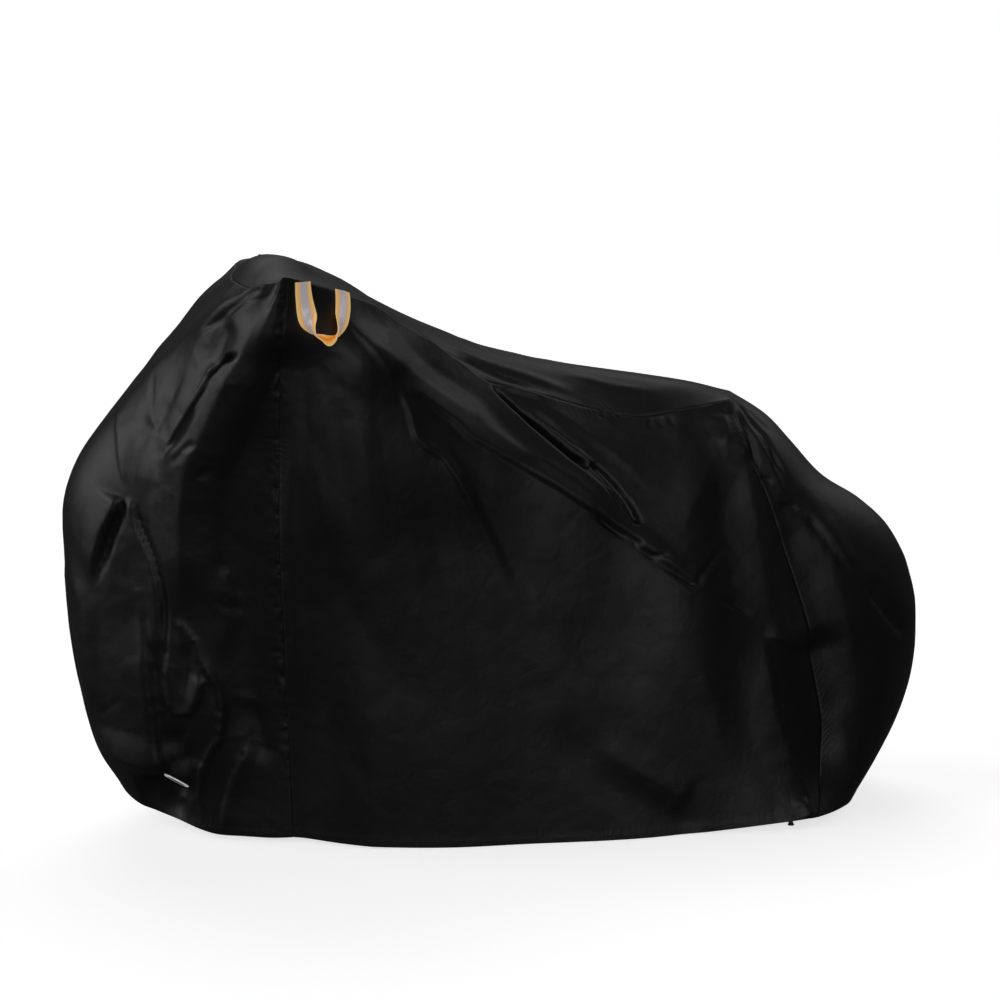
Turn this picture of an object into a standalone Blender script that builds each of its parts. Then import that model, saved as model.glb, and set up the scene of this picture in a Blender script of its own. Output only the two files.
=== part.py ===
"""Bicycle cover, draped as it hangs over the bars, saddle and wheels.

Metres, +Z up.  X runs along the bicycle with the front at -X, Y across it with the left side at -Y.
The origin lies on the ground under the middle of the cover.

The cloth is drawn by lines that run down it from its top edges to its hem.  Every panel is a sheet
lofted across its lines, raised and sunk by the rows of the fold tables, and given its thickness inwards.
"""
import math

import bmesh
import bpy
import numpy as np
from mathutils import Vector
from mathutils.bvhtree import BVHTree

CLOTH = 0.002            # thickness of the coated cloth
SEAM_GAP = 0.0003        # gap between two pieces that touch
SIDE_COLUMNS = 60        # cells along a side panel
SIDE_ROWS = 44           # cells down a side panel
TOP_COLUMNS = 16         # cells across the top and rear panel
FRONT_COLUMNS = 2 * TOP_COLUMNS      # cells round the front panel
KEPT_SHARE = .36         # share of a sheet's triangles that its folds need
ORIGIN_SHIFT = (.0012, .0077, .0014)   # sets the origin on the ground under the middle of the cover

# ---------------------------------------------------------------- lines of the cover, left half: x, y, z

# from the bar seam down the nose of the front panel to the hem
NOSE = ((-.545, 0, 1.098), (-.618, 0, 1.030), (-.680, 0, .958), (-.742, 0, .880), (-.800, 0, .828),
        (-.858, 0, .750), (-.885, 0, .680), (-.890, 0, .560), (-.884, 0, .390), (-.860, 0, .240),
        (-.830, 0, .140), (-.785, 0, .072))
# the brow, from the bar end over the nose and down its cheek
BROW = ((-.532, -.235, 1.106), (-.574, -.205, 1.076), (-.640, -.135, .995), (-.735, -.075, .900),
        (-.800, -.080, .800), (-.850, -.085, .680), (-.858, -.085, .560), (-.852, -.085, .390),
        (-.828, -.085, .240), (-.802, -.088, .160), (-.760, -.080, .098), (-.732, -.074, .052))
# the fold that falls from the bar end
CREST = ((-.476, -.322, 1.122), (-.513, -.310, 1.054), (-.551, -.295, .968), (-.598, -.265, .868),
         (-.644, -.235, .771), (-.660, -.210, .615), (-.671, -.200, .445), (-.645, -.200, .300),
         (-.632, -.188, .185), (-.640, -.162, .100), (-.646, -.146, .026))
FRONT_SEAM = ((-.459, -.330, 1.131), (-.471, -.325, 1.034), (-.478, -.315, .900), (-.483, -.300, .766),
              (-.486, -.285, .640), (-.480, -.260, .470), (-.473, -.240, .290), (-.466, -.225, .012))
TOP_SEAM = ((-.459, -.330, 1.131), (-.356, -.260, 1.100), (-.311, -.230, 1.079), (-.248, -.200, 1.037),
            (-.174, -.170, .979), (-.119, -.150, .940), (-.063, -.140, .906), (.008, -.135, .886),
            (.145, -.125, .845), (.261, -.120, .823), (.330, -.112, .832), (.377, -.100, .836),
            (.450, -.080, .845))
REAR_SEAM = ((.450, -.080, .845), (.477, -.120, .744), (.513, -.140, .660), (.554, -.160, .534),
             (.589, -.180, .423), (.621, -.195, .278), (.636, -.210, .157), (.622, -.238, .073),
             (.600, -.275, .016))
# lines down a side panel, under the point at this fraction of its top seam
SIDE_LINES = (
    ("bar", .15, ((-.328, -.300, .980), (-.333, -.310, .850), (-.335, -.300, .600),
                  (-.340, -.285, .300), (-.344, -.270, .006))),
    ("tube", .30, ((-.190, -.225, .915), (-.188, -.275, .830), (-.190, -.285, .600),
                   (-.192, -.290, .300), (-.196, -.288, .000))),
    ("middle", .51, ((.000, -.190, .810), (.008, -.240, .710), (.015, -.268, .500),
                     (.024, -.286, .250), (.034, -.298, .000))),
    ("crank", .69, ((.170, -.180, .740), (.185, -.235, .610), (.198, -.262, .400),
                    (.209, -.285, .200), (.220, -.300, .000))),
    ("stay", .83, ((.322, -.165, .730), (.338, -.210, .610), (.352, -.255, .450),
                   (.370, -.275, .220), (.385, -.292, .004))),
    ("heel", .915, ((.410, -.150, .700), (.434, -.190, .550), (.462, -.225, .380),
                    (.485, -.258, .180), (.500, -.296, .014))),
)
RIDGE = ((-.545, 0, 1.098), (-.499, 0, 1.134), (-.462, 0, 1.144), (-.425, 0, 1.138), (-.373, 0, 1.106),
         (-.278, 0, 1.061), (-.222, 0, 1.026), (-.118, 0, .986), (-.037, 0, .954), (.050, 0, .932),
         (.247, 0, .897), (.361, 0, .878), (.474, 0, .852))
SHOULDER = ((-.532, -.235, 1.106), (-.456, -.200, 1.129), (-.373, -.155, 1.103), (-.240, -.115, 1.036),
            (-.110, -.090, .968), (.050, -.075, .918), (.250, -.070, .880), (.380, -.060, .868),
            (.462, -.045, .851))
TAIL = ((.474, 0, .852), (.545, 0, .807), (.608, 0, .742), (.673, 0, .674), (.757, 0, .619),
        (.815, 0, .565), (.852, 0, .506), (.879, 0, .427), (.888, 0, .330), (.872, 0, .215),
        (.830, 0, .125), (.785, 0, .068), (.750, 0, .035))
FLANK = ((.462, -.045, .851), (.530, -.085, .770), (.600, -.100, .680), (.700, -.115, .560),
         (.770, -.125, .420), (.797, -.125, .280), (.780, -.135, .160), (.742, -.155, .075),
         (.700, -.180, .018))


def rail(points):
    """A smooth line through points, as a function of 0 to 1 along its chords."""
    points = np.array(points, float)
    steps = np.linalg.norm(np.diff(points, axis=0), axis=1)
    return spline(points, np.concatenate(([0.0], np.cumsum(steps))) / steps.sum())


def spline(points, knots):
    """A curve through points at the given knots, with no overshoot from uneven spacing."""
    points, knots = np.array(points, float), np.array(knots, float)
    gaps = np.diff(knots)
    slopes = np.diff(points, axis=0) / gaps.reshape((-1,) + (1,) * (points.ndim - 1))
    tangents = np.empty_like(points)
    tangents[0], tangents[-1] = slopes[0], slopes[-1]
    for i in range(1, len(points) - 1):
        before, after = gaps[i - 1], gaps[i]
        tangents[i] = (slopes[i - 1] * after + slopes[i] * before) / (before + after)

    def at(t):
        i = int(min(max(np.searchsorted(knots, t, side="right") - 1, 0), len(gaps) - 1))
        s = (t - knots[i]) / gaps[i]
        start, end = 2 * s**3 - 3 * s**2 + 1, 3 * s**2 - 2 * s**3
        leave, arrive = (s**3 - 2 * s**2 + s) * gaps[i], (s**3 - s**2) * gaps[i]
        return start * points[i] + end * points[i + 1] + leave * tangents[i] + arrive * tangents[i + 1]
    return at


def mirrored(points):
    return tuple((x, -y, z) for x, y, z in points)


def loft(lines, knots, across, down):
    """Points of a sheet over its lines: a row for each value of down, a column for each of across."""
    sheet = []
    for v in down:
        section = spline([line(v) for line in lines], knots)
        sheet.append([section(u) for u in across])
    return np.array(sheet)


def spread(lines, count=7):
    """Knots for lines: their mean distances, added up from the first."""
    rows = np.array([[line(v) for line in lines] for v in np.linspace(0, 1, count)])
    gaps = np.linalg.norm(np.diff(rows, axis=1), axis=2).mean(axis=0)
    return np.concatenate(([0.0], np.cumsum(gaps)))


def meet(sheet, edge, rows):
    """Move the sheet's first row onto edge, fading out over the given number of rows."""
    fade = np.clip(1 - np.arange(len(sheet)) / rows, 0, 1) ** 2
    return sheet + fade[:, None, None] * (edge - sheet[0])[None]


def side_lines(flip):
    """The lines down one side panel, front seam and rear seam included, with their places along it."""
    top = rail(flip(TOP_SEAM))
    lines = [rail(flip(FRONT_SEAM))]
    places = [0.0]
    for _, place, points in SIDE_LINES:
        lines.append(rail((tuple(top(place)),) + flip(points)))
        places.append(place)
    return lines + [rail(flip(REAR_SEAM))], places + [1.0]


def side_sheet(flip):
    lines, places = side_lines(flip)
    crest, flank, top = rail(flip(CREST)), rail(flip(FLANK)), rail(flip(TOP_SEAM))
    across = np.linspace(0, 1, SIDE_COLUMNS + 1)
    down = np.linspace(0, 1, SIDE_ROWS + 1)
    sheet = loft([crest] + lines + [flank], [-.13] + places + [1.13], across, down)
    return meet(sheet, np.array([top(u) for u in across]), SIDE_ROWS)


def front_sheet():
    left, _ = side_lines(tuple)
    right, _ = side_lines(mirrored)
    lines = [left[1], left[0], rail(CREST), rail(BROW), rail(NOSE),
             rail(mirrored(BROW)), rail(mirrored(CREST)), right[0], right[1]]
    knots = spread(lines)
    across = np.linspace(knots[1], knots[-2], FRONT_COLUMNS + 1)
    sheet = loft(lines, knots, across, np.linspace(0, 1, SIDE_ROWS + 1))
    bar_seam = sheet[0]
    bar_seam[1::2] = (bar_seam[0:-1:2] + bar_seam[2::2]) / 2
    return sheet


def top_sheet(bar_seam):
    """The strip from the bar seam over the saddle, and down the rear to the hem."""
    strip = [rail(TOP_SEAM), rail(SHOULDER), rail(RIDGE), rail(mirrored(SHOULDER)), rail(mirrored(TOP_SEAM))]
    knots = spread(strip)
    rows = np.linspace(0, 1, SIDE_COLUMNS + 1)
    top = loft(strip, knots, np.linspace(0, knots[-1], TOP_COLUMNS + 1), rows)
    top = meet(top, bar_seam[::2], 6)
    left, _ = side_lines(tuple)
    right, _ = side_lines(mirrored)
    drop = [left[-2], left[-1], rail(FLANK), rail(TAIL), rail(mirrored(FLANK)), right[-1], right[-2]]
    knots = spread(drop)
    rows = np.linspace(0, 1, SIDE_ROWS + 1)
    rear = loft(drop, knots, np.linspace(knots[1], knots[-2], TOP_COLUMNS + 1), rows)
    rear = meet(rear, top[-1], 8)
    return np.concatenate((top, rear[1:]))


# ---------------------------------------------------------------- folds
# name, rise (+) or sink (-), half width, fade at its start and its end, points along it

LEFT_FOLDS = (
    ("brow", .010, .050, .05, .2, ((-.479, -.323, 1.116), (-.574, -.215, 1.080), (-.641, -.150, .997),
                                   (-.731, -.085, .902))),
    ("cleft", -.015, .034, .3, .3, ((-.550, -.293, .985), (-.617, -.243, .904), (-.655, -.218, .842),
                                    (-.697, -.193, .773))),
    ("crest", .024, .060, .3, .25, ((-.480, -.331, 1.105), (-.551, -.295, .968), (-.598, -.265, .868),
                                    (-.644, -.234, .771), (-.660, -.210, .615), (-.673, -.199, .445))),
    ("hollow", -.024, .075, .2, .2, ((-.504, -.315, .960), (-.540, -.270, .666), (-.557, -.233, .422),
                                     (-.539, -.207, .110))),
    ("front seam", -.006, .030, .1, 0, ((-.471, -.325, 1.034), (-.480, -.300, .766), (-.486, -.286, .647),
                                        (-.476, -.261, .471), (-.469, -.241, .292), (-.462, -.227, .010))),
    ("left arm", -.014, .035, .15, .5, ((-.763, -.149, .693), (-.781, -.139, .650), (-.816, -.121, .566),
                                        (-.842, -.100, .470))),
    ("right arm", -.018, .036, .15, .3, ((-.759, -.152, .689), (-.739, -.168, .589), (-.710, -.183, .488),
                                         (-.702, -.184, .412), (-.701, -.174, .293), (-.695, -.165, .215))),
    ("tongue", .016, .040, .5, .05, ((-.675, -.201, .560), (-.668, -.199, .419), (-.669, -.185, .275))),
    ("pocket", -.022, .050, .3, .3, ((-.680, -.176, .252), (-.694, -.165, .200), (-.690, -.155, .155))),
    ("zigzag", .014, .034, .2, 0, ((-.637, -.207, .361), (-.596, -.214, .299), (-.610, -.201, .227),
                                   (-.644, -.173, .120), (-.642, -.150, .025))),
    ("lip", .016, .040, .3, .3, ((-.800, -.085, .176), (-.760, -.118, .170), (-.715, -.145, .160),
                                 (-.672, -.170, .140))),
    ("under lip", -.032, .056, .3, .2, ((-.765, -.080, .085), (-.730, -.112, .090), (-.695, -.135, .086),
                                        (-.660, -.152, .078))),
    ("knee", .022, .080, .1, .25, ((-.334, -.279, 1.030), (-.262, -.276, .929), (-.172, -.243, .866),
                                   (-.107, -.238, .813), (-.039, -.230, .766), (.059, -.228, .708),
                                   (.135, -.231, .652), (.237, -.236, .583), (.320, -.242, .520))),
    ("branch", .014, .055, .1, .5, ((-.262, -.276, .929), (-.225, -.281, .852), (-.174, -.282, .783),
                                    (-.113, -.276, .673), (-.075, -.271, .581), (-.006, -.274, .452))),
    ("slit", -.022, .042, .25, .15, ((-.056, -.145, .897), (-.010, -.165, .851), (.036, -.177, .815),
                                     (.099, -.185, .765), (.149, -.197, .718), (.197, -.210, .668),
                                     (.235, -.225, .616))),
    ("lap", .010, .036, .3, .3, ((-.010, -.150, .880), (.060, -.165, .825), (.130, -.178, .770),
                                 (.200, -.195, .700))),
    ("long sag", -.012, .085, .4, .5, ((-.321, -.291, .389), (-.273, -.290, .307), (-.215, -.290, .233),
                                       (-.148, -.291, .206))),
    ("mid sag", -.008, .070, .4, .4, ((-.097, -.285, .382), (-.032, -.283, .334), (.060, -.283, .250))),
    ("belly sag", -.009, .070, .4, .4, ((.006, -.261, .602), (.079, -.262, .516), (.120, -.263, .440))),
    ("low crease", -.016, .055, .3, 0, ((.036, -.286, .239), (.102, -.289, .177), (.166, -.294, .105),
                                        (.242, -.295, .060), (.310, -.293, .010))),
    ("low ridge", .008, .045, .3, .1, ((.140, -.289, .190), (.207, -.291, .123), (.300, -.292, .060))),
    ("knee end", -.010, .040, .3, .3, ((.273, -.241, .553), (.350, -.244, .496), (.374, -.220, .541),
                                       (.411, -.195, .567))),
    ("saddle front", .012, .050, .1, .5, ((.445, -.086, .834), (.411, -.134, .740), (.336, -.199, .640))),
    ("saddle drop", .014, .050, .1, .4, ((.452, -.090, .822), (.474, -.132, .709), (.497, -.166, .571),
                                         (.506, -.194, .430))),
    ("rear hollow", -.026, .062, .25, 0, ((.540, -.200, .400), (.560, -.215, .300), (.580, -.228, .170),
                                          (.578, -.268, .012))),
    ("pleat", -.012, .034, .1, .3, ((.476, -.060, .831), (.511, -.084, .781), (.569, -.109, .692),
                                    (.615, -.112, .640))),
    ("rear crease", -.010, .040, .3, .2, ((.607, -.131, .606), (.682, -.136, .515), (.735, -.129, .467),
                                          (.788, -.119, .391), (.830, -.096, .321))),
    ("top crease", .006, .030, .3, .4, ((-.175, -.150, .979), (-.063, -.098, .946), (.037, -.090, .908))),
)
RIGHT_FOLDS = (
    ("brow", .010, .050, .05, .2, ((-.479, .323, 1.116), (-.574, .215, 1.080), (-.641, .150, .997),
                                   (-.731, .085, .902))),
    ("crest", .020, .065, .3, .2, ((-.480, .331, 1.105), (-.541, .300, .968), (-.580, .272, .868),
                                   (-.618, .246, .771), (-.630, .222, .600), (-.622, .205, .380))),
    ("hollow", -.015, .070, .2, .2, ((-.500, .315, .940), (-.530, .272, .620), (-.540, .225, .250))),
    ("cheek", -.016, .045, .3, .2, ((-.745, .160, .730), (-.752, .160, .560), (-.725, .178, .360),
                                    (-.735, .140, .170))),
    ("knee", .014, .080, .1, .3, ((-.334, .279, 1.030), (-.240, .272, .910), (-.120, .245, .800),
                                  (.020, .235, .690), (.150, .235, .590), (.270, .245, .480))),
    ("second", .011, .055, .1, .4, ((-.270, .278, .940), (-.205, .283, .760), (-.150, .284, .560),
                                    (-.120, .286, .360))),
    ("bar fall", -.012, .060, .3, .2, ((-.330, .300, .780), (-.300, .298, .480), (-.260, .290, .160))),
    ("swag", -.014, .055, .3, .3, ((.020, .190, .820), (.120, .200, .720), (.240, .222, .620))),
    ("low crease", -.012, .055, .3, 0, ((-.080, .288, .330), (.010, .290, .200), (.120, .296, .090),
                                        (.180, .298, .005))),
    ("saddle front", .012, .050, .1, .5, ((.445, .086, .834), (.400, .145, .720), (.330, .205, .600))),
    ("saddle drop", .013, .055, .1, .4, ((.452, .090, .822), (.482, .135, .700), (.510, .175, .540),
                                         (.516, .205, .380))),
    ("rear hollow", -.022, .062, .25, 0, ((.545, .200, .380), (.566, .220, .260), (.584, .240, .130),
                                          (.580, .268, .012))),
    ("rear crease", -.010, .045, .3, .3, ((.600, .125, .640), (.690, .135, .500), (.760, .125, .400))),
)


def smooth(t):
    t = np.clip(t, 0, 1)
    return t * t * (3 - 2 * t)


def nearest_on(path, points):
    """The nearest spots of a path to points: the spots, how far they are, and how far along they lie."""
    steps = np.linalg.norm(np.diff(path, axis=0), axis=1)
    starts = np.concatenate(([0.0], np.cumsum(steps)))
    foot = np.zeros_like(points)
    away = np.full(len(points), np.inf)
    place = np.zeros(len(points))
    for i, step in enumerate(steps):
        along = (path[i + 1] - path[i]) / step
        reach = np.clip((points - path[i]) @ along, 0, step)
        spot = path[i] + reach[:, None] * along
        distance = np.linalg.norm(points - spot, axis=1)
        closer = distance < away
        foot[closer], away[closer] = spot[closer], distance[closer]
        place[closer] = (starts[i] + reach[closer]) / starts[-1]
    return foot, away, place


def relief(points):
    """How far the folds lift each point off the plain drape."""
    lift = np.zeros(len(points))
    for _, rise, width, fade_in, fade_out, path in LEFT_FOLDS + RIGHT_FOLDS:
        _, away, place = nearest_on(np.array(path), points)
        shape = np.clip(1 - (away / width) ** 2, 0, 1) ** 2
        if fade_in:
            shape = shape * smooth(place / fade_in)
        if fade_out:
            shape = shape * smooth((1 - place) / fade_out)
        lift += rise * shape
    return lift


# ---------------------------------------------------------------- sheets to solids

def face_normals(sheet):
    """Unit normals of a sheet's cells, facing away from the middle of the cover."""
    one, two = sheet[1:, 1:] - sheet[:-1, :-1], sheet[1:, :-1] - sheet[:-1, 1:]
    normals = np.cross(one, two)
    centres = (sheet[1:, 1:] + sheet[:-1, :-1]) / 2
    core = np.stack((np.clip(centres[..., 0], -.55, .55), 0 * centres[..., 1],
                     np.clip(centres[..., 2], .25, .60)), axis=-1)
    sign = np.sign(np.sum(normals * (centres - core)))
    return sign * normals


def point_normals(sheets):
    """Unit normals at the points of all sheets; points that sheets share get one normal."""
    sums = {}
    for sheet in sheets:
        cells = face_normals(sheet)
        rows, columns = sheet.shape[:2]
        for row in range(rows):
            for column in range(columns):
                total = cells[max(row - 1, 0):row + 1, max(column - 1, 0):column + 1].sum(axis=(0, 1))
                name = tuple(np.round(sheet[row, column] * 1e5).astype(int))
                sums[name] = sums.get(name, np.zeros(3)) + total
    result = []
    for sheet in sheets:
        flat = [sums[tuple(np.round(p * 1e5).astype(int))] for p in sheet.reshape(-1, 3)]
        flat = np.array(flat)
        flat /= np.linalg.norm(flat, axis=1)[:, None]
        result.append(flat.reshape(sheet.shape))
    return result


def even_bar_seam(front):
    """Set the front panel's extra points of the bar seam midway between the shared ones."""
    front[0, 1::2] = (front[0, 0:-1:2] + front[0, 2::2]) / 2


def draw_back(sheet):
    """Shifts that part a panel's sewn edges from its neighbours; those at the hem stay put."""
    shift = np.zeros_like(sheet)
    own = point_normals([sheet])[0]
    for edge, inner in (((0, ...), (1, ...)), ((slice(None), 0), (slice(None), 1)),
                        ((slice(None), -1), (slice(None), -2))):
        inward = np.cross(own[edge], np.gradient(sheet[edge], axis=0))
        inward *= np.sign(np.sum(inward * (sheet[inner] - sheet[edge]), axis=1))[:, None]
        inward /= np.linalg.norm(inward, axis=1)[:, None]
        shift[edge] += inward * SEAM_GAP * .75
    return shift


def open_sheet(name, points, window, kept):
    """A mesh of a sheet's cells, without those of its window, thinned where the cloth is plain.

    Its edges, and the ring of cells inside them, keep every point.
    """
    rows, columns = points.shape[:2]
    bm = bmesh.new()
    made = bmesh.ops.create_grid(bm, x_segments=columns - 1, y_segments=rows - 1, size=1)
    number = {vert: divmod(i, columns) for i, vert in enumerate(made["verts"])}
    for vert, place in number.items():
        vert.co = points[place]
    bmesh.ops.delete(bm, geom=[f for f in bm.faces if min(number[v] for v in f.verts) in window],
                     context="FACES")
    bmesh.ops.triangulate(bm, faces=bm.faces[:], quad_method="SHORT_EDGE")
    edge = {v for v in bm.verts if v.is_boundary}
    ring = {e.other_vert(v) for v in edge for e in v.link_edges} | edge
    bm.verts.index_update()
    free = [v.index for v in bm.verts if v not in ring]
    mesh = bpy.data.meshes.new(name)
    bm.to_mesh(mesh)
    bm.free()
    sheet = bpy.data.objects.new(name, mesh)
    bpy.context.scene.collection.objects.link(sheet)
    sheet.vertex_groups.new(name="plain cloth").add(free, 1.0, "REPLACE")
    thin = sheet.modifiers.new("thin", "DECIMATE")
    thin.ratio = kept
    thin.vertex_group = "plain cloth"
    bpy.context.view_layer.update()
    thinned = bpy.data.meshes.new_from_object(sheet.evaluated_get(bpy.context.evaluated_depsgraph_get()))
    bpy.data.objects.remove(sheet)
    return thinned


def shell(name, points, normals, shift, material, window=(), kept=KEPT_SHARE):
    """A closed sheet of cloth: its outer face on the points, its inner one a cloth's thickness in."""
    mesh = open_sheet(name, points, window, kept)
    edges = {tuple(np.round(p * 1e4).astype(int)): (n, s)
             for p, n, s in zip(points.reshape(-1, 3), normals.reshape(-1, 3), shift.reshape(-1, 3))}
    bm = bmesh.new()
    bm.from_mesh(mesh)
    outwards = np.sign(sum(f.normal.dot(f.calc_center_median() - MIDDLE) * f.calc_area() for f in bm.faces))
    bm.normal_update()
    number = bm.verts.layers.int.new("number")
    inner = []
    for i, vert in enumerate(bm.verts):
        vert[number] = i
        normal = np.array(vert.normal) * outwards
        if vert.is_boundary:
            normal, move = edges[tuple(np.round(np.array(vert.co) * 1e4).astype(int))]
            vert.co += Vector(move)
        inner.append(vert.co - CLOTH * Vector(normal))
    lifted = bmesh.ops.extrude_face_region(bm, geom=bm.faces[:] + bm.edges[:], use_keep_orig=True)
    raised = {g for g in lifted["geom"] if isinstance(g, bmesh.types.BMVert)}
    for vert in raised:
        vert.co = inner[vert[number]]
    split_rim([f for f in bm.faces if len(f.verts) == 4], raised)
    face_out(bm)
    bm.to_mesh(mesh)
    bm.free()
    return keep(bpy.data.objects.new(name, mesh), material)


ACROSS = Vector((.62, .35, -.70))   # a direction in which no seam runs level
MIDDLE = Vector((0, 0, .55))


def face_out(bm):
    """Turn the faces of a closed mesh outwards."""
    bmesh.ops.recalc_face_normals(bm, faces=bm.faces[:])
    if bm.calc_volume(signed=True) < 0:
        bmesh.ops.reverse_faces(bm, faces=bm.faces[:])


def split_rim(walls, inside):
    """Part each wall of a rim along the diagonal that the neighbouring panel's rim has too."""
    for wall in walls:
        low, high = sorted((v for v in wall.verts if v not in inside), key=lambda v: v.co.dot(ACROSS))
        far = next(e.other_vert(high) for e in high.link_edges if e.other_vert(high) in inside)
        bmesh.utils.face_split(wall, low, far)


def keep(thing, material):
    """Give a piece its material, smooth shading and its place among the parts."""
    thing.data.materials.clear()
    thing.data.materials.append(material)
    parts.objects.link(thing)
    return thing


def finish(name, colour, roughness, metallic=0.0):
    material = bpy.data.materials.new(name)
    material.use_nodes = True
    shader = material.node_tree.nodes["Principled BSDF"]
    shader.inputs["Base Color"].default_value = (*colour, 1)
    shader.inputs["Roughness"].default_value = roughness
    shader.inputs["Metallic"].default_value = metallic
    return material


def panels():
    """Name, outer points and normals of the four panels."""
    left, right, front = side_sheet(tuple), side_sheet(mirrored), front_sheet()
    names = ("side_panel_left", "side_panel_right", "front_panel", "top_rear_panel")
    plain = (left, right, front, top_sheet(front[0]))
    folded = []
    for sheet, normal in zip(plain, point_normals(plain)):
        lift = relief(sheet.reshape(-1, 3)).reshape(sheet.shape[:2])
        folded.append(sheet + lift[..., None] * normal)
    even_bar_seam(folded[2])
    normals = point_normals(folded)
    even_bar_seam(normals[2])
    return zip(names, folded, normals)


# ---------------------------------------------------------------- lock eyelet and the strip that holds it

EYELET_CELLS = (38, 43, 5, 9)        # first and last row, first and last column of the eyelet strip
STRIP_SPLIT = 3                      # strip cells to one of the panel's, each way
STRIP_GAP = .00035
EYELET_FLAT, EYELET_EASE = .038, .056     # the strip is flat this far round the eyelet, then eases off
EYELET_AXIS = (-.50, -.30, -.81)      # the way the eyelet faces, out and mostly down
HOLE_RADIUS = .0205
RING_STEPS = 32
# outline of the rolled ring on one side of its bore: radius, height over the outer face of the cloth
RING_PROFILE = ((.0180, .0010), (.0180, -.0030), (.0186, -.0036), (.0258, -.0036), (.0264, -.0030),
                (.0258, -.0024), (.0200, -.0024), (.0200, .0004), (.0266, .0004), (.0272, .0011),
                (.0262, .0022), (.0232, .0030), (.0198, .0025))


def split_cells(grid, parts_each):
    """The grid's points, with its cells parted evenly both ways."""
    rows, columns = grid.shape[:2]
    fine = np.empty(((rows - 1) * parts_each + 1, (columns - 1) * parts_each + 1, 3))
    for i in range(fine.shape[0]):
        for j in range(fine.shape[1]):
            row, column = min(i // parts_each, rows - 2), min(j // parts_each, columns - 2)
            u, v = i / parts_each - row, j / parts_each - column
            fine[i, j] = ((1 - u) * (1 - v) * grid[row, column] + (1 - u) * v * grid[row, column + 1]
                          + u * (1 - v) * grid[row + 1, column] + u * v * grid[row + 1, column + 1])
    return fine


def eyelet_cloth(sheet, normals):
    """Points and normals of the eyelet strip, flat under the ring, with the ring's place and axis."""
    top, bottom, left, right = EYELET_CELLS
    block = (slice(top, bottom + 1), slice(left, right + 1))
    points = split_cells(sheet[block], STRIP_SPLIT)
    outward = split_cells(normals[block], STRIP_SPLIT)
    outward /= np.linalg.norm(outward, axis=2)[..., None]
    row, column = points.shape[0] // 2, points.shape[1] // 2
    away = np.linalg.norm(points - points[row, column], axis=2)
    centre = points[away < EYELET_FLAT].mean(axis=0)
    axis = np.array(EYELET_AXIS) / np.linalg.norm(EYELET_AXIS)
    rise = (points - centre) @ axis
    away = np.linalg.norm(points - centre - rise[..., None] * axis, axis=2)
    level = smooth((EYELET_EASE - away) / (EYELET_EASE - EYELET_FLAT))
    level[0], level[-1], level[:, 0], level[:, -1] = 0, 0, 0, 0
    points -= (level * rise)[..., None] * axis
    return points, outward, centre, axis


def draw_in(sheet, gap):
    """Shifts that draw all four edges of a sheet in by a gap."""
    shift = np.zeros_like(sheet)
    for edge, inner in ((0, 1), (-1, -2)):
        step = sheet[inner] - sheet[edge]
        shift[edge] += gap * step / np.linalg.norm(step, axis=1)[:, None]
        step = sheet[:, inner] - sheet[:, edge]
        shift[:, edge] += gap * step / np.linalg.norm(step, axis=1)[:, None]
    return shift


def turned(name, profile, closed, steps, material):
    """A piece turned about its own Z axis from points of radius and height."""
    mesh = bpy.data.meshes.new(name)
    last = len(profile) - 1
    edges = [(i, i + 1) for i in range(last)] + ([(last, 0)] if closed else [])
    mesh.from_pydata([(radius, 0, height) for radius, height in profile], edges, [])
    piece = keep(bpy.data.objects.new(name, mesh), material)
    turn = piece.modifiers.new("turn", "SCREW")
    turn.steps = turn.render_steps = steps
    turn.use_merge_vertices = True
    turn.merge_threshold = .00001
    turn.use_normal_calculate = True
    return piece


def pierce(piece, centre, turn):
    """Cut the eyelet's hole through a piece."""
    bpy.ops.mesh.primitive_cylinder_add(vertices=RING_STEPS, radius=HOLE_RADIUS, depth=.03,
                                        location=centre, rotation=turn)
    cutter = bpy.context.object
    cutter.name = "eyelet hole"
    for collection in list(cutter.users_collection):
        collection.objects.unlink(cutter)
    cutters.objects.link(cutter)
    cutter.hide_render = True
    cutter.display_type = "WIRE"
    hole = piece.modifiers.new("hole", "BOOLEAN")
    hole.operation = "DIFFERENCE"
    hole.solver = "EXACT"
    hole.object = cutter


# ---------------------------------------------------------------- webbing loop at the bar end

WEBBING, HALF_WEBBING = .0016, .0180
TAPE, HALF_TAPE, TAPE_GAP = .0005, .0110, .0004
LOOP_STEPS = 36
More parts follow.
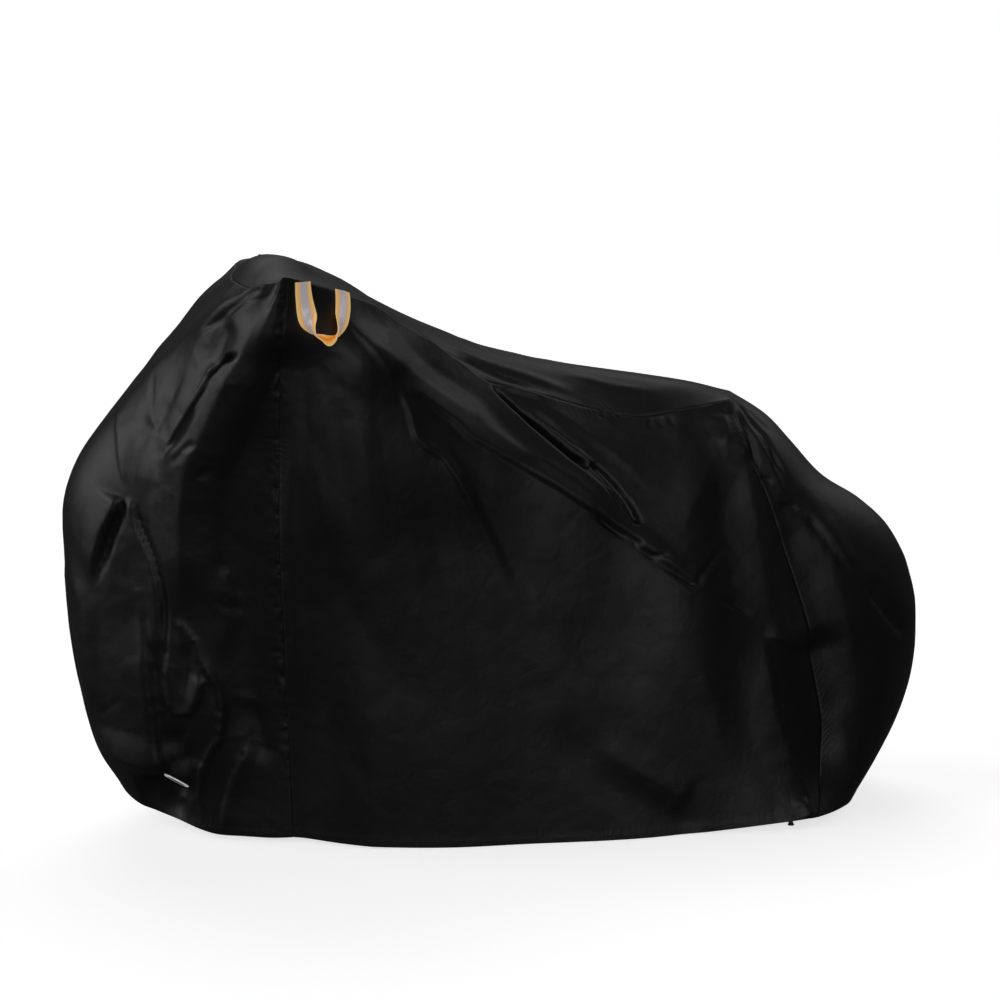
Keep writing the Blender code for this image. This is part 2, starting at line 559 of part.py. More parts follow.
# along the loop: its outer edge's x, y, z, then its inner edge's
LOOP_EDGES = (
    ("left end", -.4483, -.3227, 1.1184, -.4174, -.3028, 1.1168),
    ("left top", -.4473, -.3219, 1.1029, -.4166, -.3046, 1.1019),
    ("left leg", -.4455, -.3209, 1.0831, -.4141, -.3091, 1.0825),
    ("left bend", -.4419, -.3206, 1.0632, -.4118, -.3200, 1.0654),
    ("left roll", -.4346, -.3203, 1.0452, -.4118, -.3357, 1.0497),
    ("left fold", -.4227, -.3170, 1.0307, -.4123, -.3473, 1.0368),
    ("left crossing", -.4108, -.3160, 1.0236, -.4105, -.3512, 1.0246),
    ("left back", -.3999, -.3137, 1.0224, -.4013, -.3489, 1.0150),
    ("bottom", -.3897, -.3108, 1.0230, -.3872, -.3446, 1.0047),
    ("right back", -.3795, -.3083, 1.0233, -.3799, -.3436, 1.0120),
    ("right crossing", -.3688, -.3051, 1.0247, -.3752, -.3417, 1.0251),
    ("right fold", -.3593, -.2985, 1.0306, -.3742, -.3328, 1.0368),
    ("right roll", -.3495, -.2899, 1.0398, -.3734, -.3185, 1.0498),
    ("right bend", -.3423, -.2768, 1.0527, -.3717, -.2995, 1.0644),
    ("right leg", -.3385, -.2645, 1.0673, -.3701, -.2852, 1.0781),
    ("right top", -.3377, -.2552, 1.0808, -.3692, -.2770, 1.0888),
    ("right end", -.3382, -.2496, 1.0907, -.3689, -.2719, 1.0987),
)


def loop_frames():
    """Places, outward faces and directions across the band, along the loop's middle line."""
    rows = np.array([row[1:] for row in LOOP_EDGES])
    middle = (rows[:, :3] + rows[:, 3:]) / 2
    steps = np.linalg.norm(np.diff(middle, axis=0), axis=1)
    at = spline(rows, np.concatenate(([0.0], np.cumsum(steps))) / steps.sum())
    edges = np.array([at(t) for t in np.linspace(0, 1, LOOP_STEPS + 1)])
    places = (edges[:, :3] + edges[:, 3:]) / 2
    ahead = np.gradient(places, axis=0)
    ahead /= np.linalg.norm(ahead, axis=1)[:, None]
    across = edges[:, :3] - edges[:, 3:]
    across -= np.sum(across * ahead, axis=1)[:, None] * ahead
    across /= np.linalg.norm(across, axis=1)[:, None]
    return list(zip(places, np.cross(across, ahead), across))


def band(name, frames, widths, thick, off, material):
    """A flat band along frames, with lines at widths across it, its back face at a distance off them."""
    faces = {}
    for side, height in (("front", off + thick), ("back", off)):
        faces[side] = [place + height * normal + width * across
                       for place, normal, across in frames for width in widths]
    mesh = bpy.data.meshes.new(name)
    bm = bmesh.new()
    number = bm.verts.layers.int.new("number")
    made = bmesh.ops.create_grid(bm, x_segments=len(widths) - 1, y_segments=LOOP_STEPS, size=1)
    for i, vert in enumerate(made["verts"]):
        vert[number] = i
        vert.co = faces["front"][i]
    bmesh.ops.triangulate(bm, faces=bm.faces[:], quad_method="FIXED")
    lifted = bmesh.ops.extrude_face_region(bm, geom=bm.faces[:] + bm.edges[:], use_keep_orig=True)
    for vert in lifted["geom"]:
        if isinstance(vert, bmesh.types.BMVert):
            vert.co = faces["back"][vert[number]]
    face_out(bm)
    bm.to_mesh(mesh)
    bm.free()
    return keep(bpy.data.objects.new(name, mesh), material)


# ---------------------------------------------------------------- hem cord

CORD_RADIUS, CORD_GAP = .0015, .0008
CORD_CLEAR = .026        # under this height the cord hangs straight down
CORD_X, CORD_TOP, CORD_FOOT = .545, .050, .0130
CORD_STEPS = 9
# outline of the cord's end from its crown to its foot: radius, height
CORD_END_PROFILE = ((0, .0126), (.0021, .0126), (.0033, .0112), (.0043, .0070), (.0066, .0018),
                    (.0066, .0006), (.0050, .0002), (0, .0002))


def hem_cord(panel, material):
    """The cord that comes out under the hem, close to the inner face of a panel; its points."""
    face = BVHTree.FromObject(panel, bpy.context.evaluated_depsgraph_get())
    spots = []
    for z in np.linspace(CORD_TOP, CORD_FOOT, CORD_STEPS + 1):
        spot, normal, _, _ = face.ray_cast(Vector((CORD_X, 0, max(z, CORD_CLEAR))), Vector((0, -1, 0)))
        spots.append(Vector((CORD_X, spot.y + (CORD_RADIUS + CORD_GAP) / abs(normal.y), z)))
    curve = bpy.data.curves.new("drawcord", "CURVE")
    curve.dimensions = "3D"
    line = curve.splines.new("POLY")
    line.points.add(CORD_STEPS)
    for point, spot in zip(line.points, spots):
        point.co = (*spot, 1)
    curve.bevel_depth = CORD_RADIUS
    curve.bevel_resolution = 2
    curve.use_fill_caps = True
    keep(bpy.data.objects.new("drawcord", curve), material)
    return spots


# ---------------------------------------------------------------- the cover

for old in list(bpy.data.objects):
    bpy.data.objects.remove(old)
parts = bpy.data.collections.new("bicycle_cover")
cutters = bpy.data.collections.new("cutters")
bpy.context.scene.collection.children.link(parts)
bpy.context.scene.collection.children.link(cutters)

cloth_black = finish("coated cloth", (.012, .012, .013), .5)
webbing_orange = finish("orange webbing", (.80, .30, .03), .7)
tape_silver = finish("reflective tape", (.55, .55, .53), .35)
ring_steel = finish("bright steel", (.75, .75, .76), .2, 1.0)
cord_black = finish("braided cord", (.010, .010, .010), .8)
end_black = finish("moulded cord end", (.008, .008, .008), .45)

panel = {}
for name, sheet, normals in panels():
    shift = draw_back(sheet)
    window = ()
    if name == "front_panel":
        even_bar_seam(shift)
        top, bottom, left, right = EYELET_CELLS
        window = {(row, column) for row in range(top, bottom) for column in range(left, right)}
        strip, strip_normals, eyelet, axis = eyelet_cloth(sheet, normals)
    panel[name] = shell(name, sheet, normals, shift, cloth_black, window)

turn = Vector(axis).to_track_quat("Z", "Y").to_euler()
held = shell("eyelet_strip", strip, strip_normals, draw_in(strip, STRIP_GAP), cloth_black, kept=1)
pierce(held, eyelet, turn)
ring = turned("lock_eyelet", RING_PROFILE, True, RING_STEPS, ring_steel)
ring.location = eyelet
ring.rotation_euler = turn

frames = loop_frames()
tape_lines = (-HALF_TAPE, 0, HALF_TAPE)
webbing_lines = (-HALF_WEBBING, *tape_lines, HALF_WEBBING)
band("webbing_loop", frames, webbing_lines, WEBBING, 0, webbing_orange)
band("loop_reflective_tape", frames, tape_lines, TAPE, WEBBING + TAPE_GAP, tape_silver)

cord_end = hem_cord(panel["side_panel_left"], cord_black)[-1]
bell = turned("drawcord_end", CORD_END_PROFILE, False, 20, end_black)
bell.location = (cord_end.x, cord_end.y, 0)

origin = bpy.data.objects.new("origin", None)
origin.location = ORIGIN_SHIFT
parts.objects.link(origin)
for piece in [*parts.objects, *cutters.objects]:
    if piece is not origin:
        piece.parent = origin
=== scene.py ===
"""Looks of the bicycle cover: black coated cloth as it hangs in use, with its trim.

Tables are in millimetres, everything else in metres.  The sheets run over the same lines as the solids.
"""

import math

import bmesh
import bpy
import numpy as np
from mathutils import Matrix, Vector, noise
from mathutils.bvhtree import BVHTree


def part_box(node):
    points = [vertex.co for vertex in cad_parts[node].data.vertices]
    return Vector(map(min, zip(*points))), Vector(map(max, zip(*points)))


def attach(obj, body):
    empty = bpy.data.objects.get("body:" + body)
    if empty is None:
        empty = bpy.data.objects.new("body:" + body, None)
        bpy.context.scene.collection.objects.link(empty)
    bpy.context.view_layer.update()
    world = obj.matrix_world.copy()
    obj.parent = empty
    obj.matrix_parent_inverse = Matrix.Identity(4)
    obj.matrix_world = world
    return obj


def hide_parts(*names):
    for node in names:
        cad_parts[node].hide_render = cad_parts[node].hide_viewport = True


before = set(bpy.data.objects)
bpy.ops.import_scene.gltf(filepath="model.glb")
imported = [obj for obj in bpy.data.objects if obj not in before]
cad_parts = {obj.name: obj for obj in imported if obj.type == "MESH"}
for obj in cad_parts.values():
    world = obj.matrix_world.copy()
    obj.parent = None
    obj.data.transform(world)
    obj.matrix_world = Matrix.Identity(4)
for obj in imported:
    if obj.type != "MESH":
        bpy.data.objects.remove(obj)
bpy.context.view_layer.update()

MM = .001
SHIFT = np.array((.0012, .0077, .0014))     # from the tables' origin to the middle of the cover
CLOTH = .0011              # thickness of the cloth sheets
CELL = .0047               # size of their cells at the near front, where they are smallest
FAR_CELL, TOP_CELL = .0094, .0062
EDGE_STEPS = (.0015, .0032, .0052, .0078, .0112)     # cells beside a seam or hem end here
SEAM_STITCH = .0052        # from a seam to its row of stitches
HEM, HEM_RISE, HEM_EASE = .020, .0007, .003     # the turned hem's width, second layer and that layer's edge
HEM_STITCH, STITCH_DENT = .0035, .0016     # from that edge to its row of stitches, and the stitches' groove

# ---------------------------------------------------------------- lines of the cover, left half: x, y, z

NOSE = ((-545, 0, 1098), (-618, 0, 1030), (-680, 0, 958), (-742, 0, 880), (-800, 0, 828), (-858, 0, 750),
    (-885, 0, 680), (-890, 0, 560), (-884, 0, 390), (-860, 0, 240), (-830, 0, 140), (-785, 0, 72))
BROW = ((-532, -235, 1106), (-574, -205, 1076), (-640, -135, 995), (-735, -75, 900), (-800, -80, 800),
    (-850, -85, 680), (-858, -85, 560), (-852, -85, 390), (-828, -85, 240), (-802, -88, 160),
    (-760, -80, 98), (-732, -74, 52))
CREST = ((-476, -322, 1122), (-513, -310, 1054), (-551, -295, 968), (-598, -265, 868), (-644, -235, 771),
    (-660, -210, 615), (-671, -200, 445), (-645, -200, 300), (-632, -188, 185), (-640, -162, 100),
    (-646, -146, 26))
FRONT_SEAM = ((-459, -330, 1131), (-471, -325, 1034), (-478, -315, 900), (-483, -300, 766),
    (-486, -285, 640), (-480, -260, 470), (-473, -240, 290), (-466, -225, 12))
TOP_SEAM = ((-459, -330, 1131), (-356, -260, 1100), (-311, -230, 1079), (-248, -200, 1037),
    (-174, -170, 979), (-119, -150, 940), (-63, -140, 906), (8, -135, 886), (145, -125, 845),
    (261, -120, 823), (330, -112, 832), (377, -100, 836), (450, -80, 845))
REAR_SEAM = ((450, -80, 845), (477, -120, 744), (513, -140, 660), (554, -160, 534), (589, -180, 423),
    (621, -195, 278), (636, -210, 157), (622, -238, 73), (600, -275, 16))
RIDGE = ((-545, 0, 1098), (-499, 0, 1134), (-462, 0, 1144), (-425, 0, 1138), (-373, 0, 1106),
    (-278, 0, 1061), (-222, 0, 1026), (-118, 0, 986), (-37, 0, 954), (50, 0, 932), (247, 0, 897),
    (361, 0, 878), (474, 0, 852))
SHOULDER = ((-532, -235, 1106), (-456, -200, 1129), (-373, -155, 1103), (-240, -115, 1036),
    (-110, -90, 968), (50, -75, 918), (250, -70, 880), (380, -60, 868), (462, -45, 851))
TAIL = ((474, 0, 852), (545, 0, 807), (608, 0, 742), (673, 0, 674), (757, 0, 619), (815, 0, 565),
    (852, 0, 506), (879, 0, 427), (888, 0, 330), (872, 0, 215), (830, 0, 125), (785, 0, 68), (750, 0, 35))
FLANK = ((462, -45, 851), (530, -85, 770), (600, -100, 680), (700, -115, 560), (770, -125, 420),
    (797, -125, 280), (780, -135, 160), (742, -155, 75), (700, -180, 18))
SIDE_LINES = (      # place along the top seam, then the line down from there
    (.15, ((-328, -300, 980), (-333, -310, 850), (-335, -300, 600), (-340, -285, 300), (-344, -270, 6))),
    (.30, ((-190, -225, 915), (-188, -275, 830), (-190, -285, 600), (-192, -290, 300), (-196, -288, 0))),
    (.51, ((0, -190, 810), (8, -240, 710), (15, -268, 500), (24, -286, 250), (34, -298, 0))),
    (.69, ((170, -180, 740), (185, -235, 610), (198, -262, 400), (209, -285, 200), (220, -300, 0))),
    (.83, ((322, -165, 730), (338, -210, 610), (352, -255, 450), (370, -275, 220), (385, -292, 4))),
    (.915, ((410, -150, 700), (434, -190, 550), (462, -225, 380), (485, -258, 180), (500, -296, 14))),
)

# ---------------------------------------------------------------- folds
# name, kind, rise (+) or sink (-), half width, fade at its start and its end, points along it
# a roof and a cut slope evenly to both sides, a lap is steep on one side, and a round fold has no edge

LEFT_FOLDS = (
    ("brow edge", "lap", 7, 60, .15, .1, (
        (-739, -67, 898), (-694, -94, 943), (-642, -128, 995), (-605, -182, 1035), (-575, -201, 1075),
        (-508, 25, 1128))),
    ("brow wrinkle 1", "cut", -4, 8, .2, .3, (
        (-467, -333, 1129), (-506, -275, 1115), (-544, -225, 1098), (-577, -204, 1072),
        (-605, -182, 1035))),
    ("brow wrinkle 2", "cut", -5, 8, .2, .3, (
        (-490, -314, 1113), (-525, -290, 1098), (-561, -257, 1069), (-592, -219, 1034),
        (-619, -177, 1006))),
    ("brow wrinkle 3", "cut", -3, 7, .3, .3, (
        (-508, -305, 1096), (-547, -275, 1075), (-580, -239, 1041), (-594, -222, 1017))),
    ("brow strip", "roof", 6, 20, .2, .3, (
        (-476, -327, 1122), (-518, -291, 1108), (-553, -249, 1087), (-586, -217, 1054),
        (-611, -183, 1020))),
    ("cheek crevice", "cut", -22, 10, .15, .3, (
        (-545, -297, 985), (-573, -269, 973), (-599, -249, 939), (-618, -238, 899), (-637, -227, 867),
        (-668, -211, 814), (-701, -191, 767))),
    ("cheek strip", "lap", 9, 46, .25, .25, (
        (-701, -192, 761), (-668, -212, 808), (-636, -229, 864), (-615, -243, 898), (-596, -254, 935),
        (-572, -273, 966), (-545, -298, 980))),
    ("cheek gap", "roof", -10, 16, .3, .3, (
        (-619, -242, 885), (-642, -227, 850), (-663, -216, 814), (-678, -207, 790))),
    ("cheek small", "cut", -5, 8, .2, .3, (
        (-621, -251, 819), (-645, -233, 799), (-677, -211, 762))),
    ("cheek line", "cut", -4, 7, .2, .3, (
        (-700, -97, 934), (-711, -127, 886), (-717, -145, 850), (-699, -181, 816))),
    ("cheek edge", "roof", 7, 44, .25, .3, (
        (-579, -236, 1049), (-606, -200, 1013), (-635, -186, 960), (-668, -193, 865), (-699, -179, 821))),
    ("cheek facet", "roof", -6, 36, .3, .3, (
        (-620, -194, 983), (-669, -175, 901), (-718, -165, 808), (-756, -148, 747))),
    ("cheek left", "lap", 5, 40, .2, .2, (
        (-764, -148, 710), (-773, -132, 751), (-777, -108, 800), (-776, -44, 856))),
    ("cheek right", "roof", -7, 34, .3, .2, (
        (-558, -267, 1052), (-581, -250, 999), (-601, -244, 947))),
    ("left arm", "lap", 12, 60, .08, .4, (
        (-776, -142, 698), (-783, -140, 672), (-809, -126, 619), (-839, -105, 507))),
    ("left arm cut", "cut", -14, 14, .1, .4, (
        (-769, -147, 693), (-775, -146, 667), (-800, -133, 616), (-831, -111, 512))),
    ("right arm", "lap", 9, 50, .05, .2, (
        (-757, -155, 696), (-744, -166, 632), (-719, -179, 575), (-709, -185, 526), (-706, -186, 483),
        (-705, -179, 349))),
    ("right arm cut", "cut", -9, 9, .1, .15, (
        (-750, -160, 685), (-738, -169, 635), (-713, -182, 575), (-703, -187, 527), (-700, -188, 483),
        (-700, -181, 349))),
    ("nose facet", "lap", 16, 105, .4, .1, (
        (-737, -171, 474), (-735, -168, 393), (-730, -161, 290), (-720, -151, 191), (-704, -144, 135))),
    ("nose left", "roof", 6, 40, .2, .2, (
        (-879, -51, 554), (-854, -88, 466), (-854, -74, 340), (-834, -77, 240))),
    ("nose left dark", "roof", -6, 24, .3, .3, (
        (-888, -16, 465), (-877, -24, 353), (-857, -12, 231))),
    ("nose under", "lap", 12, 60, .15, .2, (
        (-696, -143, 124), (-719, -138, 140), (-754, -124, 154), (-793, -96, 158), (-830, -29, 155))),
    ("nose dent", "cut", -2, 9, .3, .3, (
        (-835, -74, 239), (-821, -94, 252), (-778, -134, 293))),
    ("mid line", "cut", -4, 8, .3, .3, (
        (-734, -172, 495), (-733, -170, 414), (-723, -170, 349))),
    ("crest", "roof", 24, 70, .3, .2, (
        (-475, -333, 1109), (-513, -311, 1050), (-551, -295, 968), (-590, -270, 878), (-617, -253, 819),
        (-644, -234, 767), (-656, -218, 681), (-660, -208, 579), (-669, -201, 459))),
    ("front seam", "roof", -21, 150, .08, 0, (
        (-471, -325, 1034), (-480, -300, 766), (-486, -286, 647), (-476, -261, 471), (-469, -241, 292),
        (-462, -227, 10))),
    ("hollow", "round", -12, 75, .2, .2, (
        (-504, -315, 960), (-540, -270, 666), (-557, -233, 422), (-539, -207, 110))),
    ("under lip", "round", -22, 52, .3, .2, (
        (-765, -80, 85), (-730, -112, 90), (-695, -135, 86), (-660, -152, 78))),
    ("tongue", "lap", 8, 34, .05, .3, (
        (-627, -210, 347), (-638, -202, 298), (-655, -192, 269), (-682, -180, 263), (-697, -176, 289),
        (-699, -184, 376), (-699, -189, 477))),
    ("tongue middle", "roof", -6, 22, .3, .3, (
        (-660, -203, 419), (-659, -199, 358), (-663, -192, 296))),
    ("zigzag", "lap", 6, 15, .15, 0, (
        (-638, -151, 30), (-644, -161, 102), (-640, -173, 141), (-624, -191, 186), (-604, -204, 221),
        (-598, -213, 284), (-605, -215, 325), (-623, -211, 356), (-638, -208, 379), (-647, -207, 414),
        (-671, -200, 445))),
    ("pocket", "round", -9, 36, .3, .3, (
        (-694, -171, 239), (-676, -174, 206), (-661, -176, 186), (-651, -170, 146))),
    ("pocket streak", "roof", 4, 9, .2, .2, (
        (-660, -184, 227), (-668, -173, 185), (-675, -159, 144))),
    ("pocket streak 2", "roof", 5, 9, .2, .2, (
        (-658, -156, 110), (-673, -143, 86), (-687, -129, 61))),
    ("foot", "lap", 6, 30, .2, 0, (
        (-597, -170, 28), (-593, -178, 72), (-582, -190, 116), (-561, -208, 174))),
    ("band crease 1", "cut", -2, 8, .3, .3, (
        (-607, -226, 506), (-594, -229, 490), (-578, -233, 477))),
    ("band crease 2", "cut", -2, 8, .3, .3, (
        (-586, -234, 515), (-575, -236, 497), (-561, -237, 467))),
    ("band crease 3", "roof", 4, 14, .3, .3, (
        (-591, -237, 571), (-584, -235, 523), (-564, -237, 479))),
    ("band crease 4", "cut", -3, 8, .3, .3, (
        (-622, -245, 741), (-616, -250, 759), (-603, -257, 766))),
    ("band low 1", "roof", -5, 26, .3, .3, (
        (-540, -226, 295), (-525, -224, 242), (-518, -221, 192), (-534, -213, 158))),
    ("band streak", "roof", 5, 30, .4, .4, (
        (-582, -242, 583), (-594, -232, 522), (-582, -231, 462), (-602, -217, 356))),
    ("knee", "roof", 17, 88, .12, .25, (
        (-337, -277, 1041), (-296, -277, 985), (-244, -253, 947), (-163, -225, 885), (-95, -214, 836),
        (-28, -216, 784), (75, -217, 723), (127, -219, 684), (180, -228, 634), (237, -234, 591))),
    ("knee drop", "lap", 7, 40, .15, .08, (
        (348, -245, 494), (266, -241, 553), (239, -237, 578), (207, -235, 598), (147, -230, 646),
        (107, -231, 671), (53, -230, 708), (-47, -234, 766), (-114, -246, 808), (-153, -246, 845),
        (-212, -258, 889), (-261, -277, 921))),
    ("knee edge", "lap", 6, 46, .1, .1, (
        (-323, -239, 1084), (-246, -164, 1035), (-194, -171, 995), (-169, -169, 973), (-113, -152, 932),
        (-58, -144, 899), (-16, -165, 853), (28, -179, 816))),
    ("knee left", "lap", 5, 60, .2, .3, (
        (-261, -277, 921), (-295, -284, 969), (-323, -284, 1011), (-349, -279, 1053))),
    ("branch", "lap", 5, 24, .3, .15, (
        (-79, -270, 625), (-107, -275, 672), (-139, -280, 733), (-168, -283, 777), (-203, -289, 798),
        (-221, -290, 818), (-235, -283, 866), (-257, -277, 915))),
    ("branch ridge", "roof", 5, 18, .2, .5, (
        (-176, -283, 789), (-139, -280, 733), (-107, -275, 672), (-75, -270, 611), (-49, -270, 550),
        (-6, -273, 470))),
    ("branch hollow", "roof", -2, 40, .3, .4, (
        (-206, -258, 883), (-150, -266, 809), (-92, -265, 733), (-52, -261, 688))),
    ("slit", "cut", -26, 12, .15, .15, (
        (-58, -146, 897), (-10, -166, 849), (28, -178, 818), (61, -186, 788), (102, -193, 752),
        (140, -195, 726))),
    ("slit band", "lap", 8, 50, .15, .15, (
        (-246, -164, 1035), (-194, -171, 995), (-169, -169, 973), (-113, -152, 932), (-59, -149, 893),
        (-17, -170, 846), (27, -184, 809), (63, -194, 774), (108, -200, 735), (157, -208, 691),
        (211, -223, 632))),
    ("slit deep", "roof", -8, 26, .3, .2, (
        (4, -166, 844), (43, -174, 817), (82, -182, 783), (117, -187, 753))),
    ("slit lip", "lap", 7, 34, .2, .2, (
        (-15, -159, 860), (38, -169, 826), (83, -176, 792), (128, -182, 756), (149, -187, 736),
        (185, -200, 695), (214, -210, 662), (237, -225, 616))),
    ("slit end", "cut", -20, 10, .1, .12, (
        (137, -188, 741), (160, -192, 721), (185, -201, 693), (211, -211, 660), (233, -225, 618))),
    ("slit sliver", "roof", 4, 9, .2, .15, (
        (167, -202, 698), (193, -210, 670), (214, -218, 643), (229, -226, 618))),
    ("slit low", "cut", -9, 9, .3, .1, (
        (129, -231, 656), (177, -233, 619), (207, -234, 600), (239, -237, 580))),
    ("knee dark", "cut", -7, 9, .1, .1, (
        (233, -237, 582), (265, -241, 555), (305, -245, 526), (348, -245, 494))),
    ("knee end", "cut", -4, 8, .1, .3, (
        (348, -245, 494), (356, -236, 515), (373, -225, 530), (411, -195, 565))),
    ("knee mark", "cut", -4, 7, .2, .3, (
        (248, -241, 562), (277, -238, 562), (294, -237, 559))),
    ("small side", "cut", -4, 10, .3, .3, (
        (399, -231, 469), (440, -217, 446), (471, -211, 425))),
    ("lap over slit", "roof", 7, 50, .3, .3, (
        (8, -143, 875), (88, -147, 834), (186, -165, 763), (272, -192, 685))),
    ("long sag", "roof", -8, 95, .4, .5, (
        (-409, -300, 667), (-359, -293, 508), (-253, -291, 344), (-116, -291, 217))),
    ("low crease", "round", -5, 60, .3, 0, (
        (24, -285, 260), (102, -289, 181), (166, -293, 114), (242, -295, 65), (310, -293, 29))),
    ("low ridge", "roof", 5, 50, .3, .1, (
        (124, -287, 204), (205, -290, 144), (329, -290, 71))),
    ("fold 1", "roof", 5, 75, .3, .4, (
        (-173, -283, 637), (-14, -273, 470), (146, -277, 303), (308, -286, 154))),
    ("fold 2", "roof", -4, 60, .4, .4, (
        (-74, -277, 493), (66, -273, 406), (227, -276, 278))),
    ("side seam fold", "roof", 5, 46, .3, .4, (
        (-406, -315, 956), (-419, -309, 804), (-394, -302, 667), (-358, -296, 548))),
    ("side line 1", "roof", -3, 30, .4, .4, (
        (-440, -317, 995), (-430, -312, 862), (-396, -305, 706))),
    ("side line 2", "roof", 3, 36, .4, .4, (
        (-355, -310, 973), (-317, -308, 762), (-291, -297, 585))),
    ("side line 3", "roof", -3, 44, .4, .4, (
        (-212, -294, 757), (-173, -284, 578), (-145, -287, 418))),
    ("side line 4", "roof", 4, 44, .4, .4, (
        (329, -268, 394), (376, -270, 270), (412, -282, 106))),
    ("side line 5", "roof", -3, 30, .4, .4, (
        (-388, -271, 305), (-351, -277, 184), (-294, -282, 101))),
    ("seam ridge", "roof", 4, 24, .2, .2, (
        (-458, -311, 862), (-462, -293, 667), (-457, -265, 466), (-454, -243, 260))),
    ("saddle ridge", "roof", 8, 60, .1, .5, (
        (438, -89, 831), (427, -118, 770), (396, -144, 726), (348, -191, 652), (298, -238, 552))),
    ("saddle rib", "roof", 3, 9, .2, .3, (
        (437, -93, 823), (436, -109, 788), (426, -125, 754))),
    ("saddle dark", "cut", -6, 10, .1, .3, (
        (460, -67, 839), (470, -96, 796), (484, -109, 763), (498, -132, 698))),
    ("pleat 1", "cut", -8, 11, .1, .3, (
        (479, -46, 836), (503, -77, 796), (527, -91, 765), (540, -108, 728), (567, -119, 675))),
    ("pleat 2", "cut", -4, 9, .2, .3, (
        (495, -47, 823), (525, -63, 792), (553, -66, 766))),
    ("pleat lap", "lap", 7, 30, .1, .4, (
        (471, -61, 834), (488, -92, 789), (518, -110, 741), (556, -128, 661), (590, -132, 619))),
    ("dent 1", "cut", -4, 8, .2, .2, (
        (497, -135, 687), (513, -131, 689), (528, -129, 682))),
    ("dent 2", "cut", -4, 8, .2, .2, (
        (545, -139, 632), (563, -135, 633), (583, -131, 627))),
    ("saddle drop", "roof", 9, 70, .1, .3, (
        (459, -96, 806), (477, -138, 690), (492, -169, 561), (503, -200, 433), (505, -213, 374))),
    ("rear band", "roof", -22, 84, .15, .35, (
        (602, -186, 395), (610, -190, 350), (621, -195, 278), (636, -210, 157), (622, -238, 73),
        (600, -275, 10))),
    ("rear edge", "lap", 11, 70, .3, 0, (
        (497, -210, 398), (501, -222, 335), (510, -231, 274), (526, -239, 209), (550, -247, 141),
        (572, -257, 79), (580, -278, 24))),
    ("flap", "lap", 6, 34, .2, .2, (
        (618, -186, 342), (570, -198, 353), (527, -207, 372), (496, -213, 387))),
    ("triangle", "roof", 6, 16, .2, .1, (
        (546, -275, 55), (568, -274, 41), (576, -282, 18))),
    ("rear crease", "cut", -7, 11, .15, .15, (
        (603, -130, 614), (639, -134, 566), (677, -138, 515), (704, -137, 489))),
    ("rear crease lap", "lap", 5, 40, .2, .3, (
        (704, -138, 485), (675, -138, 517), (637, -134, 568), (603, -130, 614))),
    ("rear low crease", "lap", -10, 40, .2, .2, (
        (837, -88, 330), (787, -120, 387), (757, -130, 424), (727, -133, 468))),
    ("rear facet", "roof", 5, 60, .3, .4, (
        (591, -127, 633), (657, -142, 519), (684, -161, 396), (687, -177, 252))),
    ("rear facet 2", "roof", 5, 46, .3, .3, (
        (658, -189, 235), (681, -193, 151), (689, -199, 88))),
    ("rear right", "roof", 4, 30, .3, .3, (
        (586, -181, 419), (626, -196, 260), (647, -206, 156))),
    ("top light", "roof", 5, 16, .2, .3, (
        (-147, -114, 978), (-115, -103, 964), (-4, -99, 919), (96, -104, 881), (147, -106, 864))),
    ("top second", "roof", 4, 12, .2, .3, (
        (-31, -136, 897), (24, -135, 879), (71, -132, 864))),
    ("top dark", "cut", -4, 9, .2, .3, (
        (-172, -155, 981), (-88, -121, 936), (-9, -126, 899), (51, -126, 877))),
    ("top crease 3", "roof", 3, 14, .3, .3, (
        (103, -67, 909), (204, -78, 881), (307, -79, 865))),
    ("pucker a", "cut", -3, 5, .2, .4, (
        (176, -121, 840), (176, -134, 819))),
    ("pucker b", "cut", -3, 5, .2, .4, (
        (191, -120, 837), (190, -134, 815))),
    ("pucker c", "cut", -3, 5, .2, .4, (
        (208, -119, 834), (208, -129, 820))),
    ("pucker d", "cut", -3, 5, .2, .4, (
        (277, -119, 823), (274, -135, 795))),
    ("pucker e", "cut", -3, 5, .2, .4, (
        (296, -119, 822), (297, -131, 800))),
    ("pucker f", "cut", -3, 5, .2, .4, (
        (319, -117, 823), (321, -128, 801))),
)
